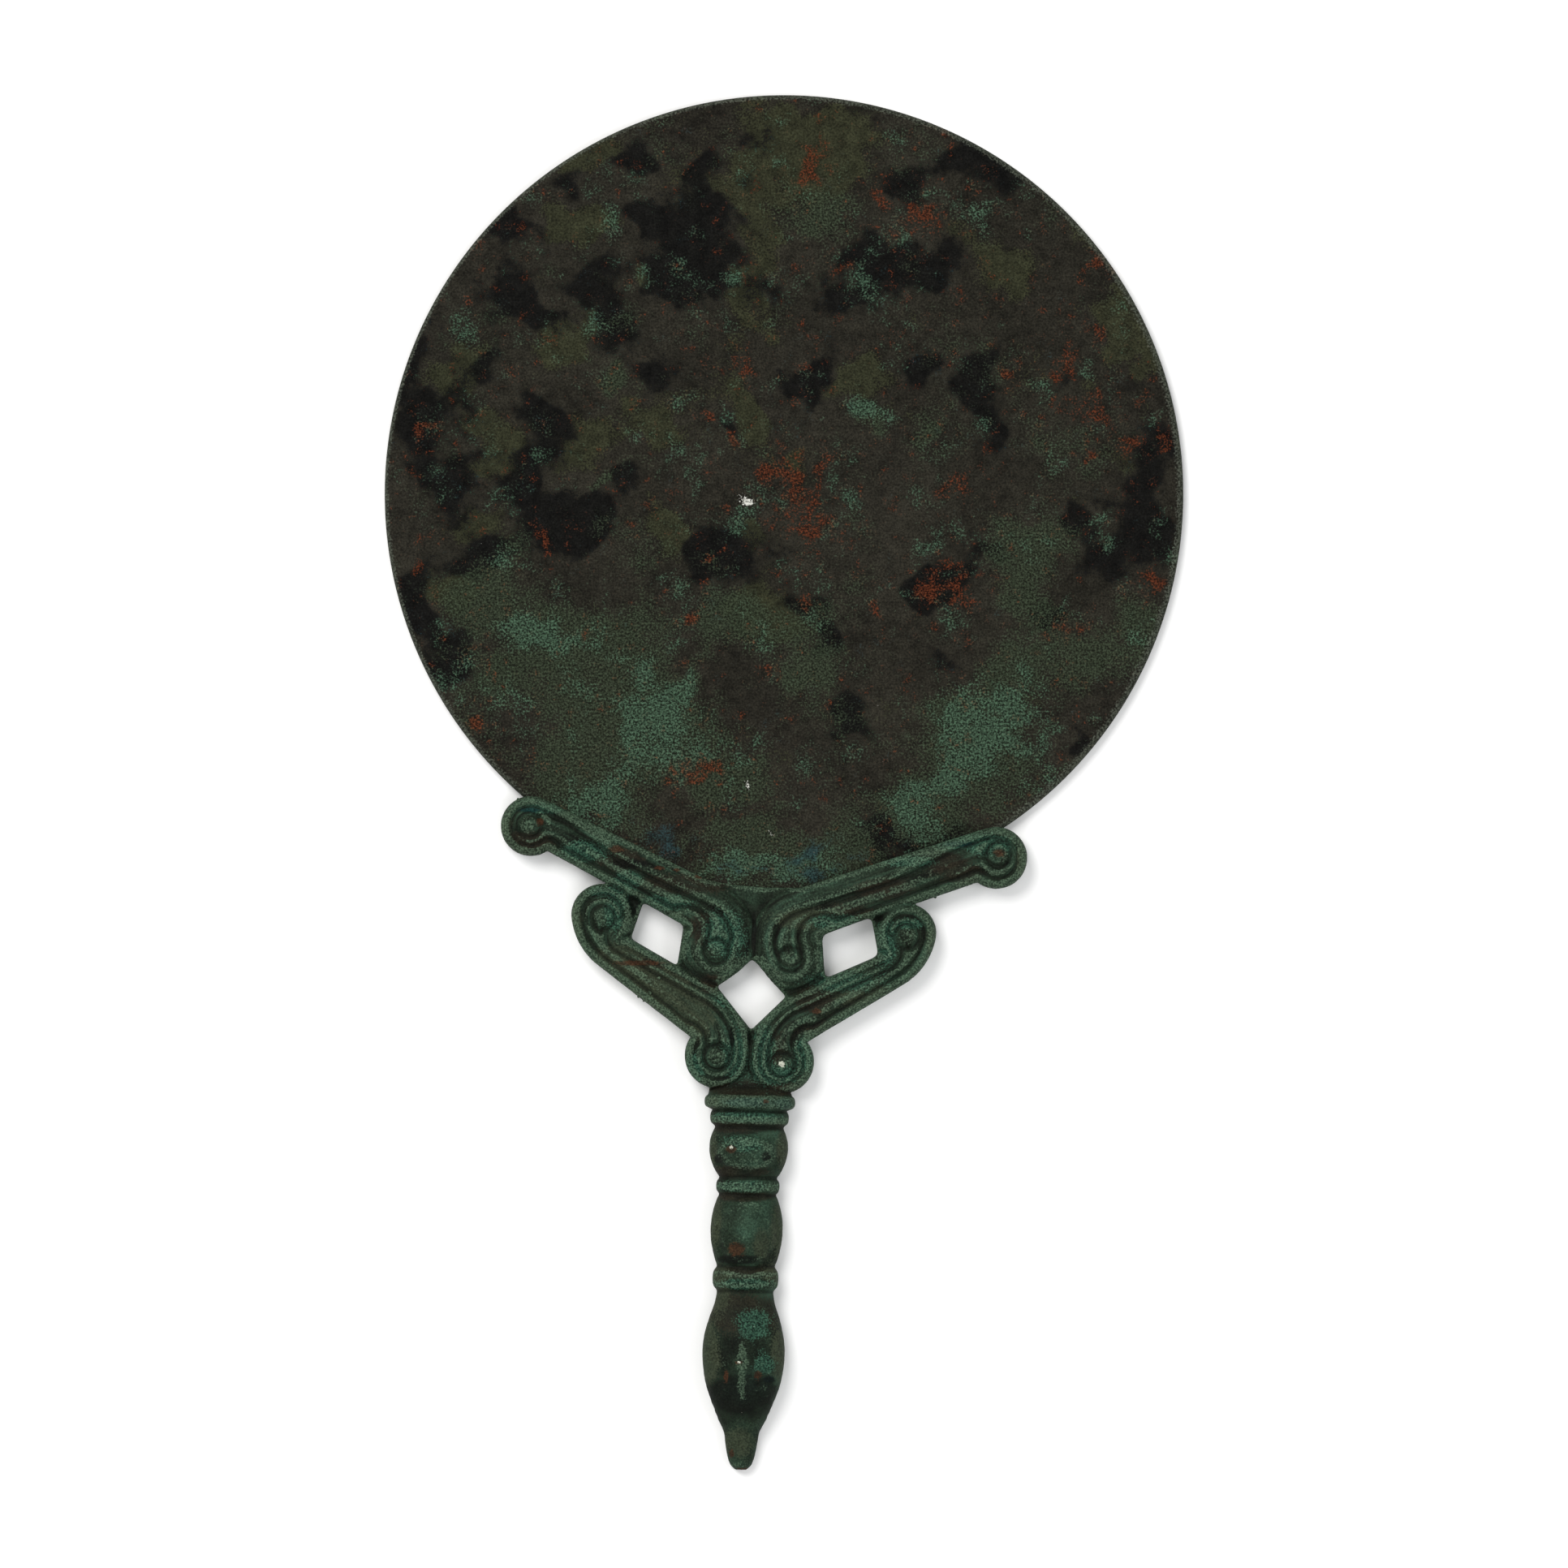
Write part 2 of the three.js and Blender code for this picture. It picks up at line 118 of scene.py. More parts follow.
# ---- the scrolls' lines, in millimetres, with x + yj for a point ----
# Each scroll is a bar between two volutes (centre, radius, radius of the swing into it).
# upper and lower are the heights of the bar's edges over the two centres.
scrolls = {
    "upperLeft": {
        "side": 1,
        "volutes": [(-50.7 - 66.4j, 6.0, 14.0), (-13.6 - 90.7j, 7.0, 11.0)],
        "eyes": [-51.0 - 66.2j, -13.6 - 91.6j],
        "upper": (6.0, 11.3),
        "lower": (-2.8, 0.7),
    },
    "upperRight": {
        "side": -1,
        "volutes": [(42.5 - 72.8j, 6.2, 14.0), (1.1 - 91.7j, 7.1, 11.0)],
        "eyes": [43.0 - 72.1j, 1.3 - 93.2j],
        "upper": (6.3, 11.6),
        "lower": (-3.4, 0.9),
    },
    "lowerLeft": {
        "side": 1,
        "volutes": [(-36.4 - 84.2j, 6.2, 14.0), (-13.4 - 112.4j, 6.5, 14.0)],
        "eyes": [-36.3 - 84.8j, -13.4 - 112.6j],
        "upper": (-1.4, 11.9),
        "lower": (-8.5, -0.3),
    },
    "lowerRight": {
        "side": -1,
        "volutes": [(24.6 - 87.9j, 5.9, 14.0), (-0.4 - 113.6j, 6.4, 14.0)],
        "eyes": [24.6 - 88.5j, -0.4 - 114.3j],
        "upper": (-1.4, 11.2),
        "lower": (-8.5, 0.8),
    },
}
otherEdge = {"upper": "lower", "lower": "upper"}
outwardOf = {"upper": 1, "lower": -1}
arcStep = 0.09                         # radians between points on an arc


def angleOf(vector):
    return math.atan2(vector.imag, vector.real)


def arc(centre, radius, start, turn):
    steps = max(2, math.ceil(abs(turn) / arcStep))
    return centre + radius * np.exp(1j * (start + turn * np.linspace(0, 1, steps + 1)))


def turnBetween(start, end, sense):
    return ((end - start) * sense) % (2 * math.pi) * sense


def edgeLine(scroll, edge):
    (a, _, _), (b, _, _) = scroll["volutes"]
    atA, atB = scroll[edge]
    angle = angleOf(b - a) - scroll["side"] * math.asin((atA - atB) / abs(b - a))
    heading = complex(math.cos(angle), math.sin(angle))
    return heading, heading * 1j * scroll["side"]


def wrappingEdge(scroll, end):
    return max(("upper", "lower"), key=lambda edge: abs(scroll[edge][end]))


# An edge seen by someone who walks along it towards the volute at one end.
def approach(scroll, edge, end):
    heading, up = edgeLine(scroll, edge)
    outward = outwardOf[edge]
    centre, radius, turn = scroll["volutes"][end]
    return {
        "centre": centre,
        "radius": radius,
        "turn": turn,
        "heading": heading if end else -heading,
        "inward": -up * outward,
        "height": scroll[edge][end] * outward,
        "depth": -scroll[otherEdge[edge]][end] * outward,
        "sense": (-1 if end else 1) * scroll["side"] * outward,
    }


# A wide swing off the bar, then the round rim as far as the notch at the bar's other edge.
def curl(scroll, end):
    walk = approach(scroll, wrappingEdge(scroll, end), end)
    centre, radius, turn, heading, inward, height, depth, sense = walk.values()
    back = math.sqrt(max(0.0, (height - radius) * (2 * turn - radius - height)))
    start = centre - inward * height - heading * back
    hub = start + inward * turn
    leave = angleOf(start - hub)
    meet = angleOf(centre - hub) if back > 0 else leave
    notch = angleOf(inward * depth - heading * math.sqrt(radius ** 2 - depth ** 2))
    rim = arc(centre, radius, meet, turnBetween(meet, notch, sense))
    if back == 0:
        return rim
    return np.concatenate([arc(hub, turn, leave, turnBetween(leave, meet, sense))[:-1], rim])


def edgePath(scroll, edge):
    ends = []
    for end in (0, 1):
        if wrappingEdge(scroll, end) == edge:
            ends.append(curl(scroll, end))
            continue
        walk = approach(scroll, edge, end)
        reach = math.sqrt(walk["radius"] ** 2 - walk["height"] ** 2)
        corner = walk["centre"] - walk["inward"] * walk["height"] - walk["heading"] * reach
        ends.append(np.array([corner]))
    return np.concatenate([ends[0][::-1], ends[1]])


def pathDistance(points, path):
    nearest = np.full(points.shape, 1e9)
    for start, step in zip(path[:-1], np.diff(path)):
        offset = points - start
        along = np.clip((offset * np.conj(step)).real / abs(step) ** 2, 0, 1)
        np.minimum(nearest, np.abs(offset - along * step), out=nearest)
    return nearest


# Negative inside the outline; points well away from it only get a rough value.
def outlineDistance(points, outline, reach=2.5):
    low = complex(outline.real.min() - reach, outline.imag.min() - reach)
    high = complex(outline.real.max() + reach, outline.imag.max() + reach)
    near = (points.real > low.real) & (points.real < high.real)
    near &= (points.imag > low.imag) & (points.imag < high.imag)
    p = points[near]
    closed = np.append(outline, outline[0])
    inside = np.zeros(p.shape, bool)
    for one, two in zip(closed[:-1], closed[1:]):
        crosses = (one.imag > p.imag) != (two.imag > p.imag)
        if one.imag != two.imag:
            at = one.real + (p.imag - one.imag) * (two.real - one.real) / (two.imag - one.imag)
            inside ^= crosses & (p.real < at)
    result = np.full(points.shape, reach)
    result[near] = pathDistance(p, closed) * np.where(inside, -1, 1)
    return result


def rounded(corners, radius):
    points = []
    for i, corner in enumerate(corners):
        ends = []
        for other in (corners[i - 1], corners[(i + 1) % len(corners)]):
            ends.append(corner + (other - corner) * min(radius / abs(other - corner), 0.45))
        for t in np.linspace(0, 1, 5):
            points.append(ends[0] * (1 - t) ** 2 + 2 * corner * t * (1 - t) + ends[1] * t ** 2)
    return np.array(points)


def smooth(low, high, value):
    t = np.clip((value - low) / (high - low), 0, 1)
    return t * t * (3 - 2 * t)


def hump(value, crest, half):
    return np.sqrt(np.clip(1 - ((value - crest) / half) ** 2, 0, 1))


for scroll in scrolls.values():
    scroll["paths"] = {edge: edgePath(scroll, edge) for edge in otherEdge}
    scroll["outline"] = np.concatenate([scroll["paths"]["upper"], scroll["paths"]["lower"][::-1]])


# ---- the flat casting behind the scrolls ----
casting = {
    "cell": 0.3,
    "web": 3.5,                        # top of the webs
    "wallTop": 3.1,                    # where a bar's rounded edge begins
    "wallRows": 3,
    "seatRadius": discHigh[0] / mm + 0.3,
    "seatTop": discHigh[2] / mm + 0.3,
    "lip": {"inner": 78.8, "outer": 82.0, "top": 3.7, "from": 257, "to": 277,
            "ridge": (80.3, 1.5, 0.25)},   # radius, half width, rise
    "barFall": 6.0,                    # how steeply a bar drops past its outline
    "windows": [
        rounded([-28.2 - 81.7j, -20.1 - 86.3j, -21.4 - 94.4j, -30.7 - 89.0j], 0.9),
        rounded([7.6 - 88.3j, 17.5 - 84.7j, 18.9 - 92.4j, 8.2 - 97.0j], 1.3),
        rounded([-6.4 - 93.1j, -5.0 - 94.4j, -3.3 - 96.5j, -2.2 - 97.8j,
                 0.4 - 100.6j, -6.6 - 107.3j, -13.4 - 98.6j, -9.0 - 95.5j], 0.6),
    ],
    "webOutline": np.array([-36.4 - 84.2j, -30 - 79.5j, -9 - 79.6j, -1.6 - 79.6j, 20 - 80.5j, 24.6 - 87.9j,
                            -0.4 - 113.6j, 1.2 - 121j, -15.4 - 121j, -13.4 - 112.4j]),
    "spur": {"place": -7.2 - 117.0j, "size": 2.1, "top": 4.9, "slope": 0.9},
}
relief = {
    "floor": 4.45,                     # grooves between the mouldings
    "ridgeTop": 5.45,
    "ridgeCrest": 1.1,                 # edge of a bar to its ridge
    "ridgeHalf": 0.9,
    "secondCrest": 2.75,
    "secondHalf": 0.7,
    "bandGap": 0.25,
    "bandRise": 1.15,
    "eyeRadius": 2.3,
    "eyeTop": 5.6,
    "eyeGroove": 0.35,
    "flange": 2.5,                     # smooth strip between the disc and an upper scroll's ridge
    "ripple": 0.11,
    "rippleLength": 0.85,
    "secondRise": 1.15,
    "bandLeast": 0.3,                  # least rise of a band where it narrows
    "bandRound": 0.45,
    "eyeRound": 0.6,
    "dimple": (0.3, 0.4),              # depth, radius
    "eyeRing": (0.28, 1.25, 0.22),     # depth, radius, width
}


def lipOutline():
    lip = casting["lip"]
    start, turn = math.radians(lip["from"]), math.radians(lip["to"] - lip["from"])
    return np.concatenate([arc(0, lip["inner"], start, turn), arc(0, lip["outer"], start + turn, -turn)])


def headDistance(points):
    solid = outlineDistance(points, casting["webOutline"])
    solid = np.minimum(solid, outlineDistance(points, lipOutline()))
    for scroll in scrolls.values():
        solid = np.minimum(solid, outlineDistance(points, scroll["outline"]))
    for window in casting["windows"]:
        solid = np.maximum(solid, -outlineDistance(points, window))
    return solid


# Height of a rim ridge: a rounded rise from the wall, the crest, then the fall to the groove.
def rimHeight(depth, flange):
    crest = relief["ridgeCrest"] + flange
    top = relief["ridgeTop"] - casting["wallTop"]
    rise = casting["wallTop"] + top * hump(np.minimum(depth, crest), crest, crest)
    fall = relief["floor"] + (relief["ridgeTop"] - relief["floor"]) * hump(depth, crest, relief["ridgeHalf"])
    return np.where(depth < crest, rise, fall)


def scrollHeight(scroll, points):
    depth = {edge: pathDistance(points, path) for edge, path in scroll["paths"].items()}
    eyeDistance = np.min([np.abs(points - eye) for eye in scroll["eyes"]], axis=0)
    (a, _, _), (b, _, _) = scroll["volutes"]
    along = ((points - a) * np.conj(b - a)).real / abs(b - a) ** 2
    flange = np.zeros(points.shape)
    margins = {edge: relief["ridgeCrest"] + relief["ridgeHalf"] + relief["bandGap"] for edge in otherEdge}
    height = np.full(points.shape, relief["floor"])
    if scroll["upper"][0] > 0:
        flange = relief["flange"] * smooth(0.06, 0.5, along)
    else:
        second = hump(depth["upper"], relief["secondCrest"], relief["secondHalf"])
        fade = smooth(0.0, 4.0, np.abs(points - scroll["paths"]["upper"][0]))
        height = np.maximum(height, relief["floor"] + relief["secondRise"] * second * fade)
        margins["upper"] += 2 * relief["secondHalf"] * fade
    depth["band"] = depth["upper"] - flange
    height = np.maximum(height, rimHeight(depth["upper"], flange))
    height = np.maximum(height, rimHeight(depth["lower"], 0))
    near = depth["band"] - margins["upper"]
    far = np.minimum(depth["lower"] - margins["lower"],
                     eyeDistance - relief["eyeRadius"] - relief["eyeGroove"])
    width = np.maximum(near + far, 1e-6)
    t = np.clip(near / width, 0, 1)
    onBand = (near > 0) & (far > 0)
    rise = np.minimum(relief["bandRise"], relief["bandLeast"] + width / 2)
    rise = rise * (4 * t * (1 - t)) ** relief["bandRound"]
    ripple = relief["ripple"] * np.sin(2 * math.pi * depth["lower"] / relief["rippleLength"])
    band = relief["floor"] + rise + ripple * smooth(0.1, 0.3, t) * smooth(0.1, 0.3, 1 - t)
    height = np.where(onBand, np.maximum(height, band), height)
    groove = eyeDistance < relief["eyeRadius"] + relief["eyeGroove"]
    height = np.where(groove, relief["floor"], height)
    dome = np.sqrt(np.clip(1 - (eyeDistance / relief["eyeRadius"]) ** 2, 0, 1))
    deep, wide = relief["dimple"]
    dimple = deep * np.exp(-(eyeDistance / wide) ** 2)
    deep, radius, wide = relief["eyeRing"]
    dimple += deep * np.exp(-((eyeDistance - radius) / wide) ** 2)
    eye = relief["floor"] + (relief["eyeTop"] - relief["floor"]) * dome ** relief["eyeRound"] - dimple
    return np.where(eyeDistance < relief["eyeRadius"], eye, height)


def headHeight(points):
    height = np.full(points.shape, casting["web"])
    lip = casting["lip"]
    onLip = outlineDistance(points, lipOutline()) < 0.2
    crest, half, rise = lip["ridge"]
    height = np.where(onLip, lip["top"] + rise * hump(np.abs(points), crest, half), height)
    for scroll in scrolls.values():
        outside = outlineDistance(points, scroll["outline"])
        bar = scrollHeight(scroll, points) - casting["barFall"] * np.maximum(outside, 0)
        height = np.where(outside < 0.6, np.maximum(height, bar), height)
    spur = casting["spur"]
    offset = points - spur["place"]
    steep = [(offset * np.exp(-1j * math.radians(angle))).real for angle in (-90, 30, 150)]
    slope = np.max(steep, axis=0) / spur["size"]
    return np.maximum(height, spur["top"] - spur["slope"] * np.maximum(slope, 0))


# A closed sheet with walls, its rim snapped to where the distance is nought.
def sheetMesh(distance, height, low, high, cell, wallRows):
    xs = np.arange(low[0] - cell, high[0] + 2 * cell, cell)
    ys = np.arange(low[1] - cell, high[1] + 2 * cell, cell)
    place = xs[:, None] + 1j * ys[None, :]
    centres = place[:-1, :-1] + cell * (0.5 + 0.5j)
    keep = distance(centres.ravel()).reshape(centres.shape) < 0
    for _ in range(3):                 # no two cells meet at a corner alone
        falling = keep[:-1, :-1] & keep[1:, 1:] & ~keep[1:, :-1] & ~keep[:-1, 1:]
        rising = ~keep[:-1, :-1] & ~keep[1:, 1:] & keep[1:, :-1] & keep[:-1, 1:]
        keep[1:, :-1] |= falling
        keep[:-1, :-1] |= rising
    padded = np.pad(keep, 1)
    corners = np.stack([padded[:-1, :-1], padded[1:, :-1], padded[:-1, 1:], padded[1:, 1:]])
    used = corners.any(axis=0)
    inner = corners.all(axis=0)
    rim = used & ~inner

    nudge = 0.02

    def snap(points):
        for _ in range(3):
            away = distance(points)
            slopeX = (distance(points + nudge) - distance(points - nudge)) / (2 * nudge)
            slopeY = (distance(points + 1j * nudge) - distance(points - 1j * nudge)) / (2 * nudge)
            slope = slopeX + 1j * slopeY
            points = points - away * slope / np.maximum(np.abs(slope) ** 2, 0.5)
        return points

    place[rim] = snap(place[rim])
    for _ in range(4):
        around = sum(np.roll(place, shift, axis) for axis in (0, 1) for shift in (1, -1)) / 4
        place[inner] = 0.5 * place[inner] + 0.5 * around[inner]
    number = np.full(place.shape, -1)
    number[used] = np.arange(used.sum())
    flat = place[used]
    top = height(flat)
    count = len(flat)
    rimNumber = np.full(count, -1)
    rimIndex = number[rim]
    rimNumber[rimIndex] = np.arange(len(rimIndex))
    rows = [np.stack([flat.real, flat.imag, top], 1), np.stack([flat.real, flat.imag, top * 0], 1)]
    for row in range(1, wallRows):
        part = row / wallRows
        rows.append(np.stack([flat[rimIndex].real, flat[rimIndex].imag, top[rimIndex] * part], 1))
    i, j = np.nonzero(keep)
    quad = [number[i, j], number[i + 1, j], number[i + 1, j + 1], number[i, j + 1]]
    faces = [np.stack(quad, 1), np.stack(quad[::-1], 1) + count]
    around = [(0, 1, i, j - 1), (1, 2, i + 1, j), (2, 3, i, j + 1), (3, 0, i - 1, j)]
    for one, two, ni, nj in around:
        open_ = ~padded[ni + 1, nj + 1]
        start, end = quad[one][open_], quad[two][open_]
        for row in range(wallRows):
            below = levelIndex(row, wallRows, count, len(rimIndex), rimNumber)
            above = levelIndex(row + 1, wallRows, count, len(rimIndex), rimNumber)
            faces.append(np.stack([above(end), above(start), below(start), below(end)], 1))
    return np.concatenate(rows), np.concatenate(faces)


# Vertex numbers of the wall's rows: the sheet's back, the rows between, then its face.
def levelIndex(row, wallRows, count, rimCount, rimNumber):
    if row == 0:
        return lambda vertices: vertices + count
    if row == wallRows:
        return lambda vertices: vertices
    return lambda vertices: 2 * count + (row - 1) * rimCount + rimNumber[vertices]


def makeObject(name, vertices, faces):
    mesh = bpy.data.meshes.new(name)
    mesh.from_pydata(vertices.tolist(), [], faces.tolist() if hasattr(faces, "tolist") else faces)
    mesh.validate()
    piece = bpy.data.objects.new(name, mesh)
    bpy.context.scene.collection.objects.link(piece)
    return piece


# ---- the shaft, in millimetres down its own axis from the root ----
shaft = {
    "root": -6.8 - 120.3j,
    "lean": math.radians(-1.44),
    "start": -4.5,
    "step": 0.3,
    "frontSides": 76,
    "backSides": 28,
    "depthPerWidth": 0.9,
    "depthBase": 1.2,
    "neck": [(-4.5, 6.6), (-1.6, 7.9), (-0.3, 8.3)],
    "neckDepth": [(-4.5, 4.3), (-1.6, 5.4), (-0.3, 7.6), (0, 8.7)],
    "waist": 0.36,                     # height of the widest line, as a share of the depth
    "backRound": 0.75,
    "backFall": 1.55,
    "ringRound": 2.4,
    "ringFall": 0.75,
    "barrelRound": 0.8,
    # from, to, half width
    "rings": [(0, 2.7, 9.1), (3.0, 6.0, 7.9), (16.7, 19.7, 6.35), (34.6, 38.9, 6.6)],
    # from, to, half width, at the top, at the foot, place of the widest part
    "barrels": [(6.4, 16.1, 7.9, 6.7, 6.0, 0.42), (20.1, 34.0, 7.25, 5.7, 5.8, 0.48)],
    "head": [(39.2, 5.6), (41.5, 6.0), (44.5, 7.0), (48.0, 7.9), (51.4, 8.25), (55.0, 8.0), (58.5, 7.3),
             (61.5, 6.2), (64.0, 5.2), (66.2, 4.2), (67.4, 3.6), (69.5, 3.25), (71.4, 2.95), (73.2, 2.5),
             (74.4, 1.9), (75.1, 1.1)],
    # along, across, half across, half along, rise
    "bosses": [(11.5, -0.3, 6.1, 3.7, 0.85), (27.6, 0.15, 5.5, 6.9, 0.85)],
    "bossGroove": 0.45,
    "grooves": [2.85, 6.2, 16.4, 19.9, 34.3, 39.05],
    "grooveDepth": 0.55,
    "grooveHalf": 0.24,
    "bossGrooveAt": 1.09,              # in radii of the boss
    "bossGrooveHalf": 0.2,
    # the beast's head: where the nose and the brow lie, half width, rise
    "nose": (-0.2, 1.3, 0.75),
    "noseRun": (47, 52, 57, 65),
    "brow": (53.2, 1.6, 0.35),
    "browReach": (3.0, 6.5),
    # its eyes and the hollows by them: along, across, size, depth
    "hollows": [(56.0, -3.6, 1.1, 0.45), (56.0, 3.3, 1.1, 0.5), (57.6, 3.1, 0.6, 0.7),
                (57.1, 5.4, 0.75, 0.6), (57.8, -4.8, 1.3, 0.3)],
}


def halfWidths(along):
    stations = list(shaft["neck"])
    for start, end, half in shaft["rings"]:
        for u in np.linspace(-1, 1, 13):
            middle, reach = (start + end) / 2, (end - start) / 2
            bulge = math.sqrt(max(0, 1 - abs(u) ** shaft["ringRound"]))
            stations.append((middle + u * reach, half - shaft["ringFall"] * (1 - bulge)))
    for start, end, half, top, foot, peak in shaft["barrels"]:
        for t in np.linspace(0, 1, 25):
            base = top if t < peak else foot
            quarter = t / peak if t < peak else (1 - t) / (1 - peak)
            swell = math.sin(quarter * math.pi / 2) ** shaft["barrelRound"]
            stations.append((start + (end - start) * t, base + (half - base) * swell))
    stations += softened(shaft["head"])
    stations.sort()
    at, half = np.array(stations).T
    return np.interp(along, at, half)


# Cubic curve through the points, with the slopes of their neighbours.
def softened(points):
    at, value = np.array(points, float).T
    slope = np.gradient(value, at)
    result = []
    for i in range(len(at) - 1):
        run = at[i + 1] - at[i]
        for t in np.linspace(0, 1, 8, endpoint=False):
            h = [2 * t ** 3 - 3 * t ** 2 + 1, t ** 3 - 2 * t ** 2 + t,
                 3 * t ** 2 - 2 * t ** 3, t ** 3 - t ** 2]
            y = (h[0] * value[i] + h[1] * run * slope[i]
                 + h[2] * value[i + 1] + h[3] * run * slope[i + 1])
            result.append((at[i] + t * run, y))
    return result + [(at[-1], value[-1])]


# What stands out of, or is cut into, the shaft's front, from the place down and across it.
def frontRelief(along, across):
    lift = np.zeros(along.shape)
    for place in shaft["grooves"]:
        lift -= shaft["grooveDepth"] * np.exp(-((along - place) / shaft["grooveHalf"]) ** 2)
    for atAlong, atAcross, halfAcross, halfAlong, rise in shaft["bosses"]:
        q = np.hypot((across - atAcross) / halfAcross, (along - atAlong) / halfAlong)
        lift += rise * np.clip(1 - q ** 2, 0, 1) ** 0.5
        scale = min(halfAcross, halfAlong)
        away = (q - shaft["bossGrooveAt"]) * scale
        lift -= shaft["bossGroove"] * np.exp(-(away / shaft["bossGrooveHalf"]) ** 2)
    at, half, rise = shaft["nose"]
    starts, full, wanes, ends = shaft["noseRun"]
    ridge = rise * np.exp(-((across - at) / half) ** 2)
    lift += ridge * smooth(starts, full, along) * smooth(ends, wanes, along)
    at, half, rise = shaft["brow"]
    inner, outer = shaft["browReach"]
    lift += rise * np.exp(-((along - at) / half) ** 2) * smooth(outer, inner, np.abs(across))
    for atAlong, atAcross, size, deep in shaft["hollows"]:
        lift -= deep * np.exp(-(np.hypot(along - atAlong, across - atAcross) / size) ** 2)
    return lift


def shaftMesh():
    tip = shaft["head"][-1][0]
    along = np.append(np.arange(shaft["start"], tip, shaft["step"]), tip)
    half = halfWidths(along)
    depth = half * shaft["depthPerWidth"] + shaft["depthBase"]
    neckAt, neckDepth = np.array(shaft["neckDepth"]).T
    depth = np.where(along < 0, np.interp(along, neckAt, neckDepth), depth)
    waist = depth * shaft["waist"]
    front = math.pi * np.arange(shaft["frontSides"]) / shaft["frontSides"]
    back = math.pi * np.arange(shaft["backSides"]) / shaft["backSides"]
    x = half[:, None] * np.cos(front)
    lift = frontRelief(along[:, None] + 0 * x, x) * np.sin(front)
    z = waist[:, None] + (depth - waist)[:, None] * np.sin(front) + lift
    backX = -half[:, None] * np.sign(np.cos(back)) * np.abs(np.cos(back)) ** shaft["backRound"]
    backZ = waist[:, None] * (1 - np.minimum(1, np.sin(back) * shaft["backFall"]))
    place = np.concatenate([x, backX], 1) - 1j * along[:, None]
    place = place * np.exp(1j * shaft["lean"]) + shaft["root"]
    vertices = np.stack([place.real, place.imag, np.concatenate([z, backZ], 1)], 2).reshape(-1, 3)
    count = place.shape[1]
    row, column = np.meshgrid(np.arange(len(along) - 1), np.arange(count), indexing="ij")
    here = (row * count + column).ravel()
    beside = (row * count + (column + 1) % count).ravel()
    faces = np.stack([here, beside, beside + count, here + count], 1).tolist()
    faces.append(list(range(count))[::-1])
    faces.append([(len(along) - 1) * count + k for k in range(count)])
    return vertices, faces


# ---- joining and baking ----
def evaluated(piece):
    depsgraph = bpy.context.evaluated_depsgraph_get()
    mesh = bpy.data.meshes.new_from_object(piece.evaluated_get(depsgraph), preserve_all_data_layers=True,
                                           depsgraph=depsgraph)
    piece.modifiers.clear()
    old = piece.data
    piece.data = mesh
    bpy.data.meshes.remove(old)


def combine(body, tool, operation):
    modifier = body.modifiers.new(operation, "BOOLEAN")
    modifier.object = tool
    modifier.operation = operation
    modifier.solver = "MANIFOLD"
    evaluated(body)
    bpy.data.objects.remove(tool)


def seatCutter():
    radius, sides = casting["seatRadius"], 384
    turn = 2 * math.pi * np.arange(sides) / sides
    ring = radius * np.exp(1j * turn)
    vertices = [(p.real, p.imag, z) for z in (-1.0, casting["seatTop"]) for p in ring]
    faces = [[k, (k + 1) % sides, sides + (k + 1) % sides, sides + k] for k in range(sides)]
    faces += [list(range(sides))[::-1], [sides + k for k in range(sides)]]
    return makeObject("seatCutter", np.array(vertices), faces)


def positions(mesh):
    values = np.empty(len(mesh.vertices) * 3)
    mesh.vertices.foreach_get("co", values)
    return values.reshape(-1, 3)


def setPositions(mesh, values):
    mesh.vertices.foreach_set("co", values.ravel())
    mesh.update()


def storeValue(mesh, name, values):
    attribute = mesh.attributes.new(name, "FLOAT", "POINT")
    attribute.data.foreach_set("value", np.asarray(values, np.float32))


def vertexNormals(mesh):
    values = np.empty(len(mesh.vertices) * 3)
    mesh.vertex_normals.foreach_get("vector", values)
    return values.reshape(-1, 3)


# Each vertex moved towards the mean of its neighbours, over and over.
def relaxed(mesh, place, rounds, share=0.5):
    edges = np.empty(len(mesh.edges) * 2, int)
    mesh.edges.foreach_get("vertices", edges)
    one, two = edges.reshape(-1, 2).T
    count = len(place)
    degree = np.bincount(one, minlength=count) + np.bincount(two, minlength=count)
    for _ in range(rounds):
        total = np.stack([np.bincount(one, place[two, k], count) + np.bincount(two, place[one, k], count)
                          for k in range(3)], 1)
        place = place + share * (total / degree[:, None] - place)
    return place


def newTree(name, inputs):
    tree = bpy.data.node_groups.new(name, "GeometryNodeTree")
    tree.interface.new_socket("Geometry", in_out="INPUT", socket_type="NodeSocketGeometry")
    for label, kind, value in inputs:
        socket = tree.interface.new_socket(label, in_out="INPUT", socket_type="NodeSocket" + kind)
        if value is not None:
            socket.default_value = value
    tree.interface.new_socket("Geometry", in_out="OUTPUT", socket_type="NodeSocketGeometry")
    return tree


# A node with its settings, and its inputs given as values or as sockets to link from.
def addNode(tree, kind, inputs=None, **settings):
    node = tree.nodes.new(kind)
    for key, value in settings.items():
        setattr(node, key, value)
    for key, value in (inputs or {}).items():
        if isinstance(value, bpy.types.NodeSocket):
            tree.links.new(value, node.inputs[key])
        else:
            node.inputs[key].default_value = value
    return node


def math_(tree, operation, *values):
    return addNode(tree, "ShaderNodeMath", dict(enumerate(values)), operation=operation).outputs[0]


def scaled(tree, vector, times):
    return addNode(tree, "ShaderNodeVectorMath", {0: vector, "Scale": times}, operation="SCALE").outputs[0]


# A value between nought and one, measured from a half and multiplied.
def centred(tree, value, times):
    return math_(tree, "MULTIPLY", math_(tree, "SUBTRACT", value, 0.5), times)


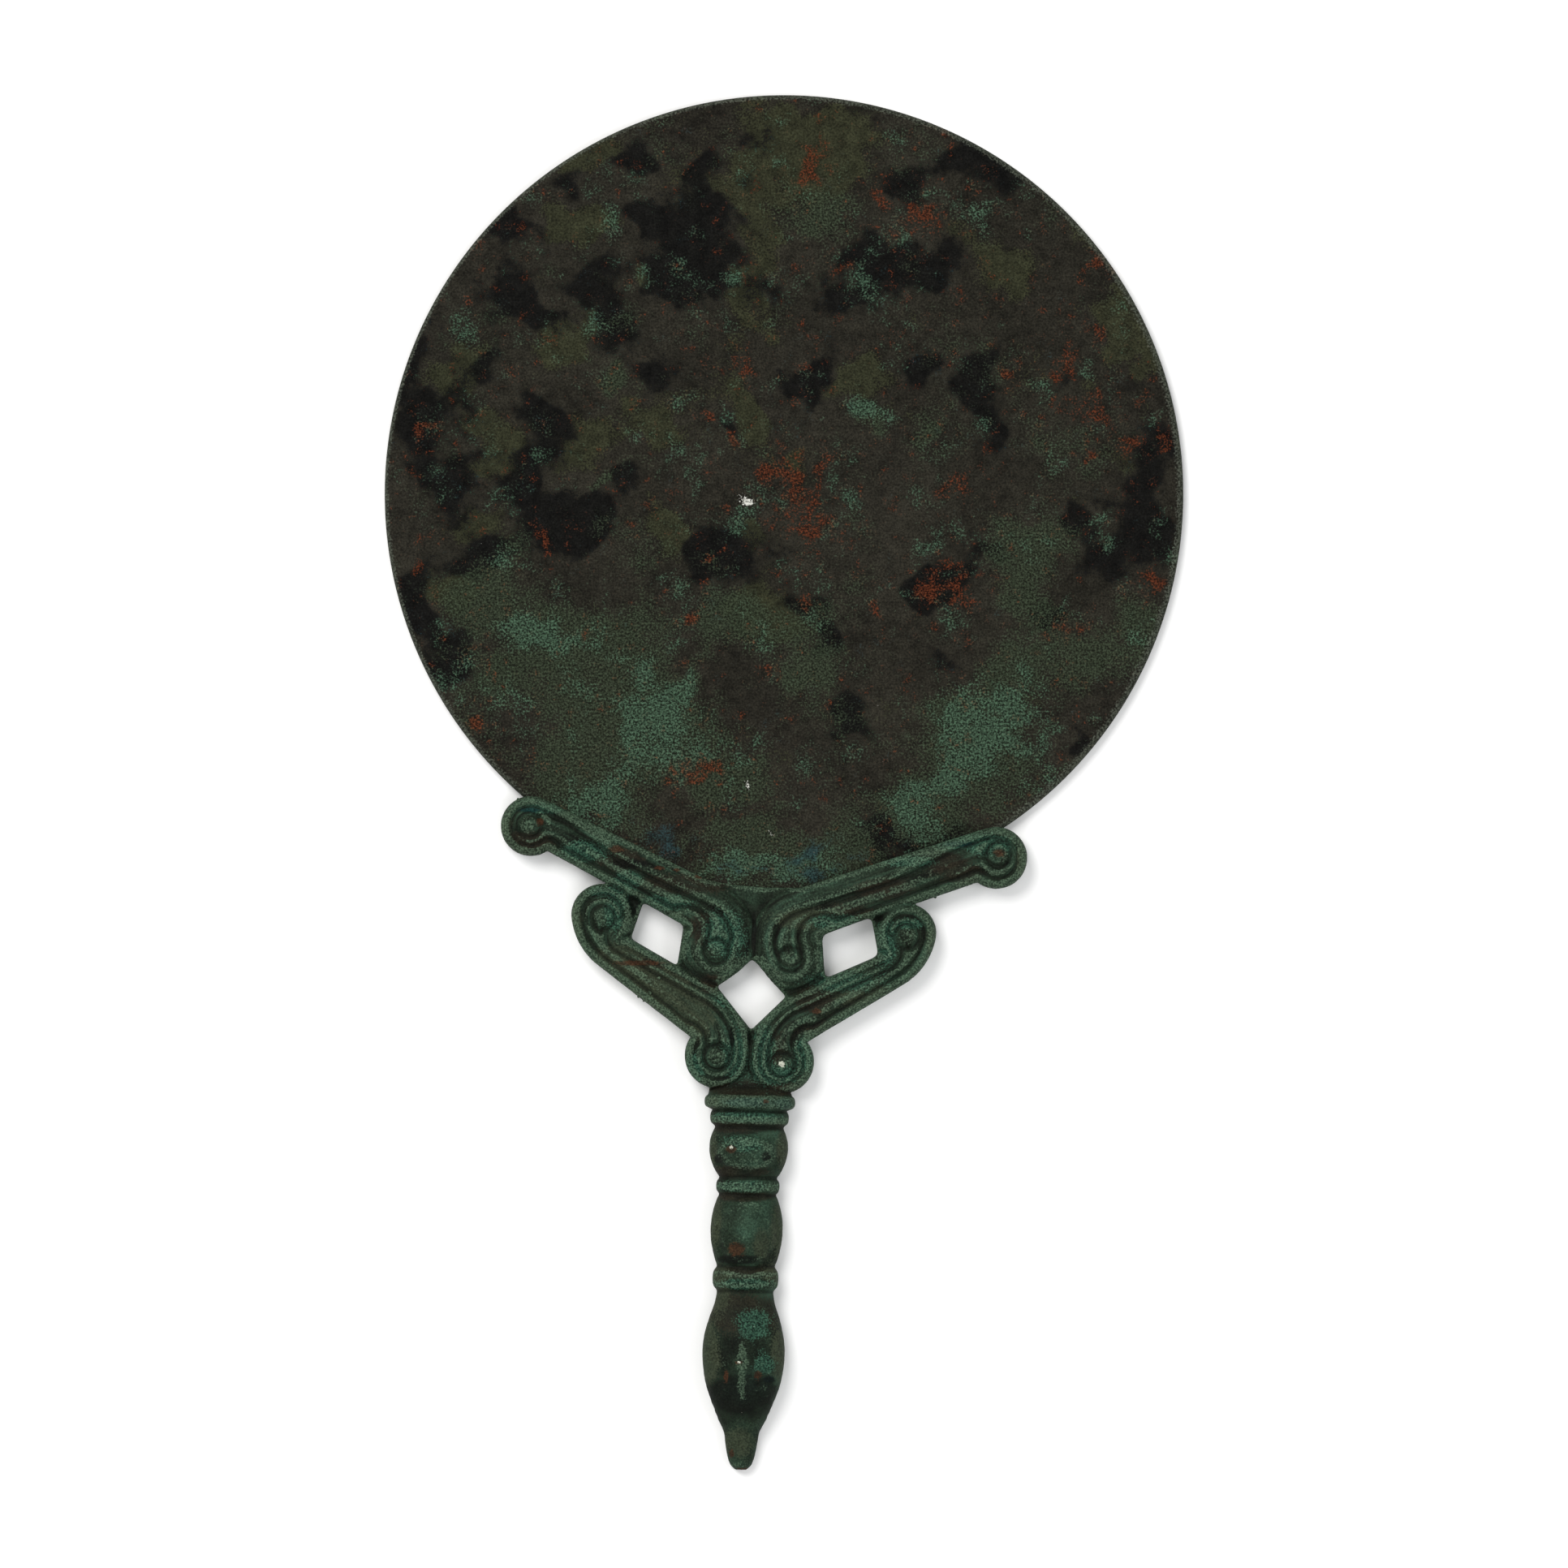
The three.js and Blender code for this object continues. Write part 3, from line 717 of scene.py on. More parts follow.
# A noise pulled apart round its middle and kept between nought and one.
def stretched(tree, noise, gain):
    return addNode(tree, "ShaderNodeMath", {0: centred(tree, noise, gain), 1: 0.5}, operation="ADD",
                   use_clamp=True).outputs[0]


def readFloat(tree, name):
    return addNode(tree, "GeometryNodeInputNamedAttribute", {"Name": name}, data_type="FLOAT").outputs[0]


# Runs a geometry tree on a piece and keeps the result as its plain mesh.
def runTree(piece, tree, values):
    modifier = piece.modifiers.new(tree.name, "NODES")
    modifier.node_group = tree
    for item in tree.interface.items_tree:
        if item.item_type == "SOCKET" and item.in_out == "INPUT" and item.name in values:
            modifier[item.identifier] = values[item.name]
    evaluated(piece)


# Corroded metal: the skin sinks by a soft swell, a finer crust and scattered pits. The mesh's own
# "loose" attribute says how far each point may move.
def corrosionTree():
    tree = newTree("corrosion", [
        ("Swell Size", "Float", 6.0), ("Swell Depth", "Float", 0.05),
        ("Crust Size", "Float", 1.0), ("Crust Depth", "Float", 0.05), ("Crust Gain", "Float", 3.5),
        ("Pit Size", "Float", 2.0), ("Pit Depth", "Float", 0.1), ("Pit Share", "Float", 0.3),
        ("Seed", "Int", 3), ("Finish", "Material", None),
    ])
    given = addNode(tree, "NodeGroupInput").outputs
    place = addNode(tree, "GeometryNodeInputPosition").outputs[0]
    normal = addNode(tree, "GeometryNodeInputNormal").outputs[0]

    def noise(size, detail, shift):
        scale = math_(tree, "DIVIDE", 1.0, size)
        w = math_(tree, "ADD", given["Seed"], shift)
        return addNode(tree, "ShaderNodeTexNoise",
                       {"Vector": place, "W": w, "Scale": scale, "Detail": detail},
                       noise_dimensions="4D").outputs[0]

    swellDepth = math_(tree, "MULTIPLY", given["Swell Depth"], 2.0)
    swell = centred(tree, noise(given["Swell Size"], 2.0, 0.0), swellDepth)
    gain = math_(tree, "ADD", 1.0, math_(tree, "MULTIPLY", readFloat(tree, "crust"), given["Crust Gain"]))
    crustDepth = math_(tree, "MULTIPLY", math_(tree, "MULTIPLY", given["Crust Depth"], gain), 2.0)
    crust = centred(tree, noise(given["Crust Size"], 4.0, 11.0), crustDepth)
    pitScale = math_(tree, "DIVIDE", 1.0, given["Pit Size"])
    cells = addNode(tree, "ShaderNodeTexVoronoi", {"Vector": place, "W": given["Seed"], "Scale": pitScale},
                    voronoi_dimensions="4D")
    pit = addNode(tree, "ShaderNodeMapRange",
                  {0: cells.outputs["Distance"], 1: 0.12, 2: 0.42, 3: 1.0, 4: 0.0},
                  interpolation_type="SMOOTHSTEP").outputs[0]
    chance = addNode(tree, "FunctionNodeSeparateColor", {0: cells.outputs["Color"]}).outputs[0]
    chosen = math_(tree, "LESS_THAN", chance, given["Pit Share"])
    pit = math_(tree, "MULTIPLY", math_(tree, "MULTIPLY", pit, chosen), given["Pit Depth"])
    total = math_(tree, "SUBTRACT", math_(tree, "ADD", swell, crust), pit)
    offset = scaled(tree, normal, math_(tree, "MULTIPLY", total, readFloat(tree, "loose")))
    moved = addNode(tree, "GeometryNodeSetPosition",
                    {"Geometry": given["Geometry"], "Offset": offset}).outputs[0]
    real = addNode(tree, "GeometryNodeRealizeInstances", {0: moved}).outputs[0]
    done = addNode(tree, "GeometryNodeSetMaterial",
                   {"Geometry": real, "Material": given["Finish"]}).outputs[0]
    addNode(tree, "NodeGroupOutput", {"Geometry": done})
    return tree


# Lumps of solder and crust that stand on a surface where the "crumbs" attribute says.
def crumbTree():
    tree = newTree("crumbs", [
        ("Density", "Float", 0.05), ("Smallest", "Float", 0.2), ("Largest", "Float", 0.7),
        ("Seed", "Int", 5), ("Finish", "Material", None),
    ])
    given = addNode(tree, "NodeGroupInput").outputs
    amount = math_(tree, "MULTIPLY", readFloat(tree, "crumbs"), given["Density"])
    spread = addNode(tree, "GeometryNodeDistributePointsOnFaces",
                     {"Mesh": given["Geometry"], "Density": amount, "Seed": given["Seed"]})
    crumb = addNode(tree, "GeometryNodeMeshIcoSphere", {"Radius": 0.5, "Subdivisions": 2}).outputs[0]
    wobble = addNode(tree, "ShaderNodeTexNoise", {"Scale": 2.2, "Detail": 2.0}).outputs[0]
    push = scaled(tree, addNode(tree, "GeometryNodeInputNormal").outputs[0], centred(tree, wobble, 0.5))
    crumb = addNode(tree, "GeometryNodeSetPosition", {"Geometry": crumb, "Offset": push}).outputs[0]
    size = addNode(tree, "FunctionNodeRandomValue",
                   {2: given["Smallest"], 3: given["Largest"], "Seed": given["Seed"]},
                   data_type="FLOAT").outputs[1]
    flat = addNode(tree, "ShaderNodeCombineXYZ", {0: size, 1: size, 2: math_(tree, "MULTIPLY", size, 0.45)})
    turn = addNode(tree, "FunctionNodeRandomValue",
                   {0: (0.0, 0.0, 0.0), 1: (0.3, 0.3, 6.28), "Seed": given["Seed"]},
                   data_type="FLOAT_VECTOR").outputs[0]
    placed = addNode(tree, "GeometryNodeInstanceOnPoints",
                     {"Points": spread.outputs[0], "Instance": crumb, "Rotation": turn,
                      "Scale": flat.outputs[0]})
    real = addNode(tree, "GeometryNodeRealizeInstances", {0: placed.outputs[0]}).outputs[0]
    both = addNode(tree, "GeometryNodeJoinGeometry", {0: given["Geometry"]})
    tree.links.new(real, both.inputs[0])
    done = addNode(tree, "GeometryNodeSetMaterial",
                   {"Geometry": both.outputs[0], "Material": given["Finish"]})
    addNode(tree, "NodeGroupOutput", {"Geometry": done.outputs[0]})
    return tree


# ---- finishes that both pieces share ----
def newGroup(name, inputs, outputs):
    tree = bpy.data.node_groups.new(name, "ShaderNodeTree")
    for label, kind, value in inputs:
        socket = tree.interface.new_socket(label, in_out="INPUT", socket_type="NodeSocket" + kind)
        if value is not None:
            socket.default_value = value
    for label, kind in outputs:
        tree.interface.new_socket(label, in_out="OUTPUT", socket_type="NodeSocket" + kind)
    return tree, addNode(tree, "NodeGroupInput").outputs


# A stain: a soft field broken up by noise into a ragged patch.
def stainGroup():
    tree, given = newGroup("stain", [
        ("Vector", "Vector", None), ("Field", "Float", 0.0), ("Weight", "Float", 1.25),
        ("Grain", "Float", 1.0), ("Grain Share", "Float", 0.5), ("Size", "Float", 0.006),
        ("Spread", "Float", 1.0), ("Softness", "Float", 0.05), ("Shift", "Float", 0.0),
    ], [("Mask", "Float")])
    scale = math_(tree, "DIVIDE", 1.0, given["Size"])
    noise = addNode(tree, "ShaderNodeTexNoise",
                    {"Vector": given["Vector"], "W": given["Shift"], "Scale": scale, "Detail": 7.0,
                     "Roughness": 0.66}, noise_dimensions="4D").outputs[0]
    field = math_(tree, "ADD", centred(tree, given["Field"], given["Weight"]), 0.5)
    value = math_(tree, "ADD", field, centred(tree, noise, given["Spread"]))
    value = math_(tree, "ADD", value, centred(tree, given["Grain"], given["Grain Share"]))
    low = math_(tree, "SUBTRACT", 0.5, given["Softness"])
    high = math_(tree, "ADD", 0.5, given["Softness"])
    mask = addNode(tree, "ShaderNodeMapRange", {0: value, 1: low, 2: high, 3: 0.0, 4: 1.0},
                   interpolation_type="SMOOTHSTEP").outputs[0]
    addNode(tree, "NodeGroupOutput", {"Mask": mask})
    return tree


# name, size in grains, detail, roughness, gain
grainLayers = [
    ("Grain", 1.0, 2.0, 0.6, 3.4),
    ("Mottle", 6.0, 5.0, 0.68, 2.6),
    ("Cloud", 40.0, 4.0, 0.55, 2.6),
]


# Sandy speckle at the size of the crystals in a patina, and two coarser mottles.
def grainGroup():
    tree, given = newGroup("grain", [("Vector", "Vector", None), ("Size", "Float", 0.0004)],
                           [(layer[0], "Float") for layer in grainLayers])
    results = {}
    for label, times, detail, rough, gain in grainLayers:
        scale = math_(tree, "DIVIDE", 1.0, math_(tree, "MULTIPLY", given["Size"], times))
        noise = addNode(tree, "ShaderNodeTexNoise",
                        {"Vector": given["Vector"], "Scale": scale, "Detail": detail, "Roughness": rough})
        results[label] = stretched(tree, noise.outputs[0], gain)
    addNode(tree, "NodeGroupOutput", results)
    return tree


stain = stainGroup()
grain = grainGroup()


def linear(color):
    shares = [value / 255 for value in color]
    return tuple(c / 12.92 if c <= 0.04045 else ((c + 0.055) / 1.055) ** 2.4 for c in shares) + (1.0,)


def mixColor(tree, factor, one, two):
    inputs = {0: factor}
    for key, value in ((6, one), (7, two)):
        inputs[key] = value if isinstance(value, bpy.types.NodeSocket) else linear(value)
    return addNode(tree, "ShaderNodeMix", inputs, data_type="RGBA").outputs[2]


# Fine lines that follow a distance stored on the mesh, in millimetres.
def streakGroup():
    tree, given = newGroup("streaks", [
        ("Vector", "Vector", None), ("Line", "Float", 0.0), ("Length", "Float", 0.009),
        ("Width", "Float", 0.8), ("Gain", "Float", 2.6),
    ], [("Streak", "Float")])
    along = scaled(tree, given["Vector"], math_(tree, "DIVIDE", 1.0, given["Length"]))
    across = math_(tree, "DIVIDE", given["Line"], given["Width"])
    noise = addNode(tree, "ShaderNodeTexNoise", {"Vector": along, "W": across, "Scale": 1.0, "Detail": 2.5},
                    noise_dimensions="4D").outputs[0]
    addNode(tree, "NodeGroupOutput", {"Streak": stretched(tree, noise, given["Gain"])})
    return tree


def readValue(tree, name):
    return addNode(tree, "ShaderNodeAttribute", attribute_name=name).outputs["Fac"]


streaks = streakGroup()


# How the layers of a patina are weighed against each other.
coat = {
    "mottleShare": 0.6,
    "cloudShare": 0.4,
    "mottleLift": 0.3,
    # How strongly the casting-line streaks lay painted shade and painted highlight over the colour.
    "paintedShadeCover": 0.9,
    "paintedHighlightCover": 0.6,
    "streakLift": 1.2,
    "streakShare": 0.5,
    "roughSpread": 0.15,
    "shiftStep": 3.7,
    "bumpDistance": 0.0003,
}


# A patinated metal: a mottled ground under stains, each from an attribute of the mesh.
def patina(finish):
    material = bpy.data.materials.new(finish["name"])
    material.use_nodes = True
    tree = material.node_tree
    shader = tree.nodes["Principled BSDF"]
    place = addNode(tree, "ShaderNodeTexCoord").outputs["Object"]
    grains = addNode(tree, "ShaderNodeGroup", {"Vector": place, "Size": finish["grainSize"]},
                     node_tree=grain)
    fine, mottle, cloud = grains.outputs
    share = math_(tree, "ADD", math_(tree, "MULTIPLY", mottle, coat["mottleShare"]),
                  math_(tree, "MULTIPLY", cloud, coat["cloudShare"]))
    color = mixColor(tree, share, *finish["ground"])
    height = math_(tree, "MULTIPLY", mottle, coat["mottleLift"])
    if "streaks" in finish:
        lines = addNode(tree, "ShaderNodeGroup", {"Vector": place, "Line": readValue(tree, "line")},
                        node_tree=streaks).outputs[0]
        # The casting lines are painted: dark streaks are painted shade in their fine grooves, light streaks
        # painted highlights on their crests.
        paintedStreakShade, paintedStreakHighlight = finish["streaks"]
        dark = math_(tree, "POWER", lines, 2.0)
        color = mixColor(tree, math_(tree, "MULTIPLY", dark, coat["paintedShadeCover"]), color, paintedStreakShade)
        bright = math_(tree, "POWER", math_(tree, "SUBTRACT", 1.0, lines), 3.0)
        color = mixColor(tree, math_(tree, "MULTIPLY", bright, coat["paintedHighlightCover"]), color, paintedStreakHighlight)
        height = math_(tree, "ADD", height, math_(tree, "MULTIPLY", lines, coat["streakLift"]))
        mottle = math_(tree, "ADD", math_(tree, "MULTIPLY", mottle, 1 - coat["streakShare"]),
                       math_(tree, "MULTIPLY", lines, coat["streakShare"]))
    for index, layer in enumerate(finish["stains"]):
        inputs = {"Vector": place, "Field": readValue(tree, layer["field"]), "Grain": fine,
                  "Size": layer["size"], "Spread": layer["spread"], "Softness": layer["softness"],
                  "Shift": coat["shiftStep"] * index}
        patch = addNode(tree, "ShaderNodeGroup", inputs, node_tree=stain).outputs[0]
        mask = math_(tree, "MULTIPLY", patch, layer["cover"])
        tone = mixColor(tree, fine if layer.get("sandy") else mottle, *layer["colors"])
        color = mixColor(tree, mask, color, tone)
        height = math_(tree, "ADD", height, math_(tree, "MULTIPLY", mask, layer["lift"]))
    speck = math_(tree, "ADD", 1.0, centred(tree, fine, finish["speckle"]))
    rough = math_(tree, "ADD", finish["roughness"], centred(tree, fine, coat["roughSpread"]))
    height = math_(tree, "ADD", height, math_(tree, "MULTIPLY", fine, finish["grainLift"]))
    bump = addNode(tree, "ShaderNodeBump",
                   {"Height": height, "Strength": finish["bump"], "Distance": coat["bumpDistance"]})
    tree.links.new(scaled(tree, color, speck), shader.inputs["Base Color"])
    tree.links.new(rough, shader.inputs["Roughness"])
    tree.links.new(bump.outputs[0], shader.inputs["Normal"])
    shader.inputs["Specular IOR Level"].default_value = finish["specular"]
    return material


# How far each point lies inside any of the oval stains (x, y, half width, half height), in
# millimetres. The ovals are bent out of shape by waves as high as wander.
def stainField(x, y, ovals, wander=0.0):
    bare = np.ones(len(x))
    x, y = (x + wander * (1.6 * np.sin(0.31 * y + 1.3) + 0.9 * np.sin(0.83 * y + 0.45 * x)),
            y + wander * (1.5 * np.sin(0.27 * x + 0.7) + 0.9 * np.sin(0.74 * x - 0.52 * y)))
    for atX, atY, halfX, halfY in ovals:
        d = np.hypot((x - atX) / halfX, (y - atY) / halfY)
        bare *= 1 - 1 / (1 + d ** 4)
    return 1 - bare


# ---- the disc ----
disc = {
    "radius": discHigh[0] / mm,
    "thickness": discHigh[2] / mm,
    "sides": 512,
    "ringStep": 1.0,
    # share of a stain's field that counts, where it isn't the whole
    "strength": {"rust": 0.5, "bright": 0.72, "azure": 0.6, "chalk": 0.75, "soot": 0.95,
                 "verdigris": 0.85},
    "wander": 1.0,
    # light band on the rim: its widest side in degrees, where it begins, its reach, its cover
    # A lighter band on the rim's bevel, wider on one side: painted highlight.
    "rimHighlightBand": {"side": -35, "from": 0.4, "least": 1.0, "extra": 1.4, "cover": 0.75},
    "edge": [(0.0, 1.3), (0.02, 0.95), (0.12, 0.6), (0.3, 0.32), (0.55, 0.12), (0.8, 0.05), (1.05, 0.02),
             (1.35, 0.0), (1.75, 0.05), (2.2, 0.09), (2.8, 0.11)],   # in from the rim, below the face
    "corrosion": {
        "Swell Size": 14.0, "Swell Depth": 0.05, "Crust Size": 2.2, "Crust Depth": 0.012,
        "Crust Gain": 3.5, "Pit Size": 2.6, "Pit Depth": 0.05, "Pit Share": 0.12, "Seed": 7,
    },
}
discStains = {
    "soot": [
        (-17, 56, 8, 8), (-16, 46, 7, 6), (-27, 54, 5, 4), (-23, 44, 5, 5), (-37, 43, 6, 4),
        (-51, 36, 6, 3), (-57, 53, 5, 2), (-29, 66, 5, 3), (-42, 63, 3, 3), (-17, 65, 3, 4),
        (-34, 33, 5, 5), (-24, 25, 5, 5), (-60, 25, 2, 3), (-66, 18, 5, 6), (-73, 12, 4, 9),
        (-66, 4, 6, 5), (-75, 26, 3, 6), (-49, 15, 4, 6), (-51, 5, 3, 7), (-47, -3, 6, 5),
        (-38, -3, 7, 4), (-42, -8, 7, 3), (-31, 2, 4, 3), (-61, -13, 5, 3), (-16, -10, 6, 4),
        (-12, -15, 4, 2), (5, 23, 5, 4), (-12, 12, 2, 3), (20, 46, 9, 6), (31, 45, 5, 5), (14, 38, 5, 2),
        (44, 64, 6, 4), (36, 68, 5, 4), (24, 63, 4, 4), (40, 17, 3, 6), (39, 23, 3, 4), (28, -18, 3, 5),
        (35, -19, 3, 4), (42, -12, 3, 2), (63, -14, 6, 5), (72, -7, 5, 6), (74, 7, 4, 6), (58, -6, 3, 4),
        (8, -28, 3, 5), (6, -22, 3, 3), (54, -24, 4, 3), (-67, -31, 4, 6), (-73, -22, 3, 6),
        (20, -67, 7, 3), (30, -68, 5, 2), (14, -71, 4, 3), (58, -50, 2, 3), (13, -45, 4, 5),
        (28, 27, 3, 4),
    ],
    "olive": [
        (1, 74, 12, 4), (-5, 65, 6, 8), (-6, 53, 4, 10), (-6, 40, 4, 6), (-6, 34, 4, 4),
        (-27, 43, 3, 1.5), (-64, 25, 4, 6), (-61, 15, 4, 4), (-41, 12, 5, 5), (-27, 13, 6, 4),
        (-7, 17, 2.5, 4), (-6, 13, 2, 3), (-58, 7, 4, 4), (-61, -6, 6, 4), (1.5, 8, 2, 2),
        (66, 31, 3, 8), (73, 30, 3, 10), (71, 42, 3, 5), (-5, -24, 9, 5), (-55, 62, 4, 4),
        (-42, 55, 8, 4), (-64, -18, 6, 4), (-40, 68, 5, 3), (-8, -9, 2, 3), (16, 22, 6, 4),
        (-45, 30, 5, 4), (-24, -6, 3, 4), (62, 52, 4, 4), (10, 66, 6, 7), (46, 46, 6, 5),
    ],
    "verdigris": [
        (-60, -22, 7, 5), (-50, -25, 10, 6), (-46, -36, 16, 9), (-30, -40, 10, 10), (-37, -52, 13, 8),
        (-24, -46, 5, 10), (-39, -61, 8, 4), (-33, -66, 4, 3), (-18, -36, 2, 5), (-10, -25, 9, 5),
        (48, -9, 6, 5), (50, -20, 5, 9), (46, -38, 7, 9), (33, -44, 6, 5), (36, -53, 11, 8),
        (28, -63, 8, 5), (60, -34, 6, 9), (70, -26, 4, 6), (-11, -74, 10, 4), (5, -72, 9, 4),
        (-10, -68, 9, 2.5), (12, -73, 6, 4), (17, 15, 4, 3), (28, 14, 3, 3), (8, 57, 6, 5),
        (-33, 22, 2, 3), (-35, 3, 2, 2), (-8, -58, 9, 5), (5, -35, 6, 5),
    ],
    "bright": [
        (-40, -61, 6, 4), (-34, -64, 5, 4), (-25, -43, 4, 6), (-22, -50, 4, 6), (-31, -48, 3, 6),
        (-18, -37, 2, 4), (-50, -28, 8, 3), (35, -44, 5, 4), (46, -42, 4, 4), (33, -57, 6, 4),
        (28, -62, 4, 4), (48, -9, 4, 3), (17, 16, 3, 2), (-9, -75, 8, 2), (3, -73, 7, 3),
        (40, -50, 6, 6),
    ],
    "azure": [
        (-25, -69, 5, 2.5), (3, -71, 4, 2), (26, -71, 1.5, 1), (-7, -76, 6, 1), (8, -75, 5, 1),
        (29, 13, 1, 1),
    ],
    "rust": [
        (-2, 5, 3, 4), (3, 2, 4, 5), (4, -4, 5, 4), (8, 6, 1.5, 3), (21, 56, 2, 5), (28, 58, 3, 3),
        (62, 16, 4, 3), (68, 11, 3, 2), (64, 45, 4, 2), (52, 57, 1.2, 0.8), (30, 72, 1.2, 1.2),
        (46, 25, 1.5, 1.5), (56, 27, 2, 6), (61, 32, 1.5, 2), (6, -21, 1.5, 3), (-19, -24, 1.5, 1),
        (31, -17, 4, 3), (36, -20, 3, 3), (19, -24, 2, 1.5), (76, -16, 3, 2), (-73, 13, 1.5, 4),
        (-50, -8, 2, 1.5), (-48, -11, 1.5, 1), (-62, -46, 1.5, 3), (-13, 10, 1, 2), (-15, 16, 1.5, 1),
        (2, 35, 0.8, 1.5), (-3, -35, 4, 1), (-3, 20, 1, 1), (74, 12, 1.5, 3), (61, 5, 1, 1),
        (6, 67, 2.5, 5), (-15, -12, 1.5, 1), (39, 8, 1.2, 0.7), (55, -27, 2, 2.5), (-8, 24, 3, 1.5),
        (-67, 39, 0.8, 0.8), (72, 19, 1, 1), (-18, -55, 5, 3), (-74, -15, 1, 2), (12, 44, 2, 1),
        (35, 1, 3, 1.5),
    ],
    "chalk": [
        (-5.5, -2.2, 1.3, 1.0), (-6.8, -60, 0.5, 0.8), (-4.6, -67.4, 0.6, 0.4),
        (-1.5, -66.5, 0.3, 0.3),
    ],
}
discFinish = {
    "name": "discPatina",
    "ground": ((16, 15, 12), (46, 44, 37)),
    "grainSize": 0.00042,
    "speckle": 0.9,
    "grainLift": 0.35,
    "bump": 0.5,
    "roughness": 0.62,
    "specular": 0.03,
    "stains": [
        {"field": "olive", "colors": ((30, 31, 21), (50, 52, 36)),
         "size": 0.014, "spread": 3.6, "softness": 0.16, "cover": 0.9, "lift": 0.4},
        {"field": "soot", "colors": ((6, 6, 6), (18, 18, 17)),
         "size": 0.013, "spread": 4.2, "softness": 0.12, "cover": 0.93, "lift": -0.3},
        {"field": "verdigris", "colors": ((26, 30, 21), (50, 60, 45)),
         "size": 0.012, "spread": 3.6, "softness": 0.3, "cover": 0.75, "lift": 0.3, "sandy": True},
        {"field": "bright", "colors": ((24, 32, 24), (64, 88, 70)),
         "size": 0.007, "spread": 4.4, "softness": 0.3, "cover": 0.75, "lift": 0.5, "sandy": True},
        {"field": "azure", "colors": ((16, 28, 30), (38, 62, 66)),
         "size": 0.004, "spread": 2.4, "softness": 0.3, "cover": 0.7, "lift": 0.2},
        {"field": "rust", "colors": ((12, 9, 7), (86, 42, 24)),
         "size": 0.0026, "spread": 3.6, "softness": 0.25, "cover": 0.8, "lift": 0.4, "sandy": True},
        # Painted highlight on the rim's bevel.
        {"field": "paintedRimHighlight", "colors": ((44, 48, 41), (72, 76, 67)),
         "size": 0.002, "spread": 0.9, "softness": 0.3, "cover": 0.7, "lift": 0.0, "sandy": True},
        {"field": "chalk", "colors": ((110, 110, 102), (230, 230, 222)),
         "size": 0.0012, "spread": 1.5, "softness": 0.12, "cover": 0.9, "lift": 0.5},
    ],
}


# Turned plate: rings of points from the middle of the face over the rim to the middle of the back.
def discMesh():
    radius, thickness = disc["radius"], disc["thickness"]
    edge = [(radius - inset, thickness - drop) for inset, drop in disc["edge"]]
    innerFace = edge[-1]
    rings = np.arange(disc["ringStep"], innerFace[0] - 0.5, disc["ringStep"])
    dish = innerFace[1]
    profile = [(r, dish) for r in rings] + edge[::-1]
    profile += [(radius - inset, drop) for inset, drop in disc["edge"][1:7]]
    profile += [(r, 0.0) for r in np.arange(radius - 2, 3, -5.0)]
    sides = disc["sides"]
    turn = np.exp(2j * math.pi * np.arange(sides) / sides)
    rows = [np.stack([(r * turn).real, (r * turn).imag, np.full(sides, z)], 1) for r, z in profile]
    vertices = np.concatenate(rows + [np.array([[0, 0, dish], [0, 0, 0.0]])])
    row, column = np.meshgrid(np.arange(len(profile) - 1), np.arange(sides), indexing="ij")
    here, beside = (row * sides + column).ravel(), (row * sides + (column + 1) % sides).ravel()
    faces = np.stack([here, here + sides, beside + sides, beside], 1).tolist()
    last = (len(profile) - 1) * sides
    for k in range(sides):
        faces.append([len(vertices) - 2, k, (k + 1) % sides])
        faces.append([len(vertices) - 1, last + (k + 1) % sides, last + k])
    return vertices, faces


def makeDisc(corrosion):
    piece = makeObject("mirrorDisc", *discMesh())
    x, y, z = positions(piece.data).T
    inward = disc["radius"] - np.hypot(x, y)
    storeValue(piece.data, "loose", smooth(-0.05, 0.3, inward) * smooth(0.0, 0.05, z))
    storeValue(piece.data, "crust", stainField(x, y, discStains["rust"]))
    for name, ovals in discStains.items():
        strength = disc["strength"].get(name, 1.0)
        storeValue(piece.data, name, strength * stainField(x, y, ovals, disc["wander"]))
    turn = np.arctan2(y, x)
    # Painted highlight along the rim's bevel, wider towards the given side.
    rimHighlightBand = disc["rimHighlightBand"]
    lean = 0.55 + 0.45 * np.cos(turn - math.radians(rimHighlightBand["side"]))
    reach = rimHighlightBand["least"] + rimHighlightBand["extra"] * lean
    storeValue(piece.data, "paintedRimHighlight", rimHighlightBand["cover"] * (1 - smooth(rimHighlightBand["from"], reach, inward)))
    runTree(piece, corrosion, dict(disc["corrosion"], Finish=patina(discFinish)))
    return piece


# ---- the handle ----
handle = {
    "softenRounds": 2,
    "headFoot": -122.0,                # the scroll head's sheet ends here, inside the shaft
    "standingRounds": 30,
    # Clefts get painted shade: a dark colour laid in by how far a point sinks below its surroundings.
    "paintedCleftShade": (-0.04, -0.22),           # standing heights where the dark of the clefts begins and is full
    # Ridges get a lighter colour that stands for wear and for painted highlight.
    "wearAndHighlight": (0.03, 0.22),              # and the same for the ridges, which get wear and painted highlight
    "corrosion": {
        "Swell Size": 5.0, "Swell Depth": 0.07, "Crust Size": 0.9, "Crust Depth": 0.05,
        "Crust Gain": 3.5, "Pit Size": 1.7, "Pit Depth": 0.16, "Pit Share": 0.22, "Seed": 3,
    },
    "crumbs": {"Density": 0.12, "Smallest": 0.35, "Largest": 0.95, "Seed": 12},
    "crumbPlaces": [(46, -66.5, 2, 1), (-53, -60.8, 2, 1), (-21.5, -95, 1.5, 1), (28.5, -80.5, 2, 1.5),
                    (-4, -117, 3, 1.5), (-27, -101, 2, 2)],
    "crustPlaces": [(-8.5, -182, 7, 5), (-3, -96, 3, 3), (-11, -150, 4, 4), (2, -93, 3, 3), (40, -77, 4, 2),
                    (-50, -71, 4, 2), (-4, -134, 3, 3)],
}
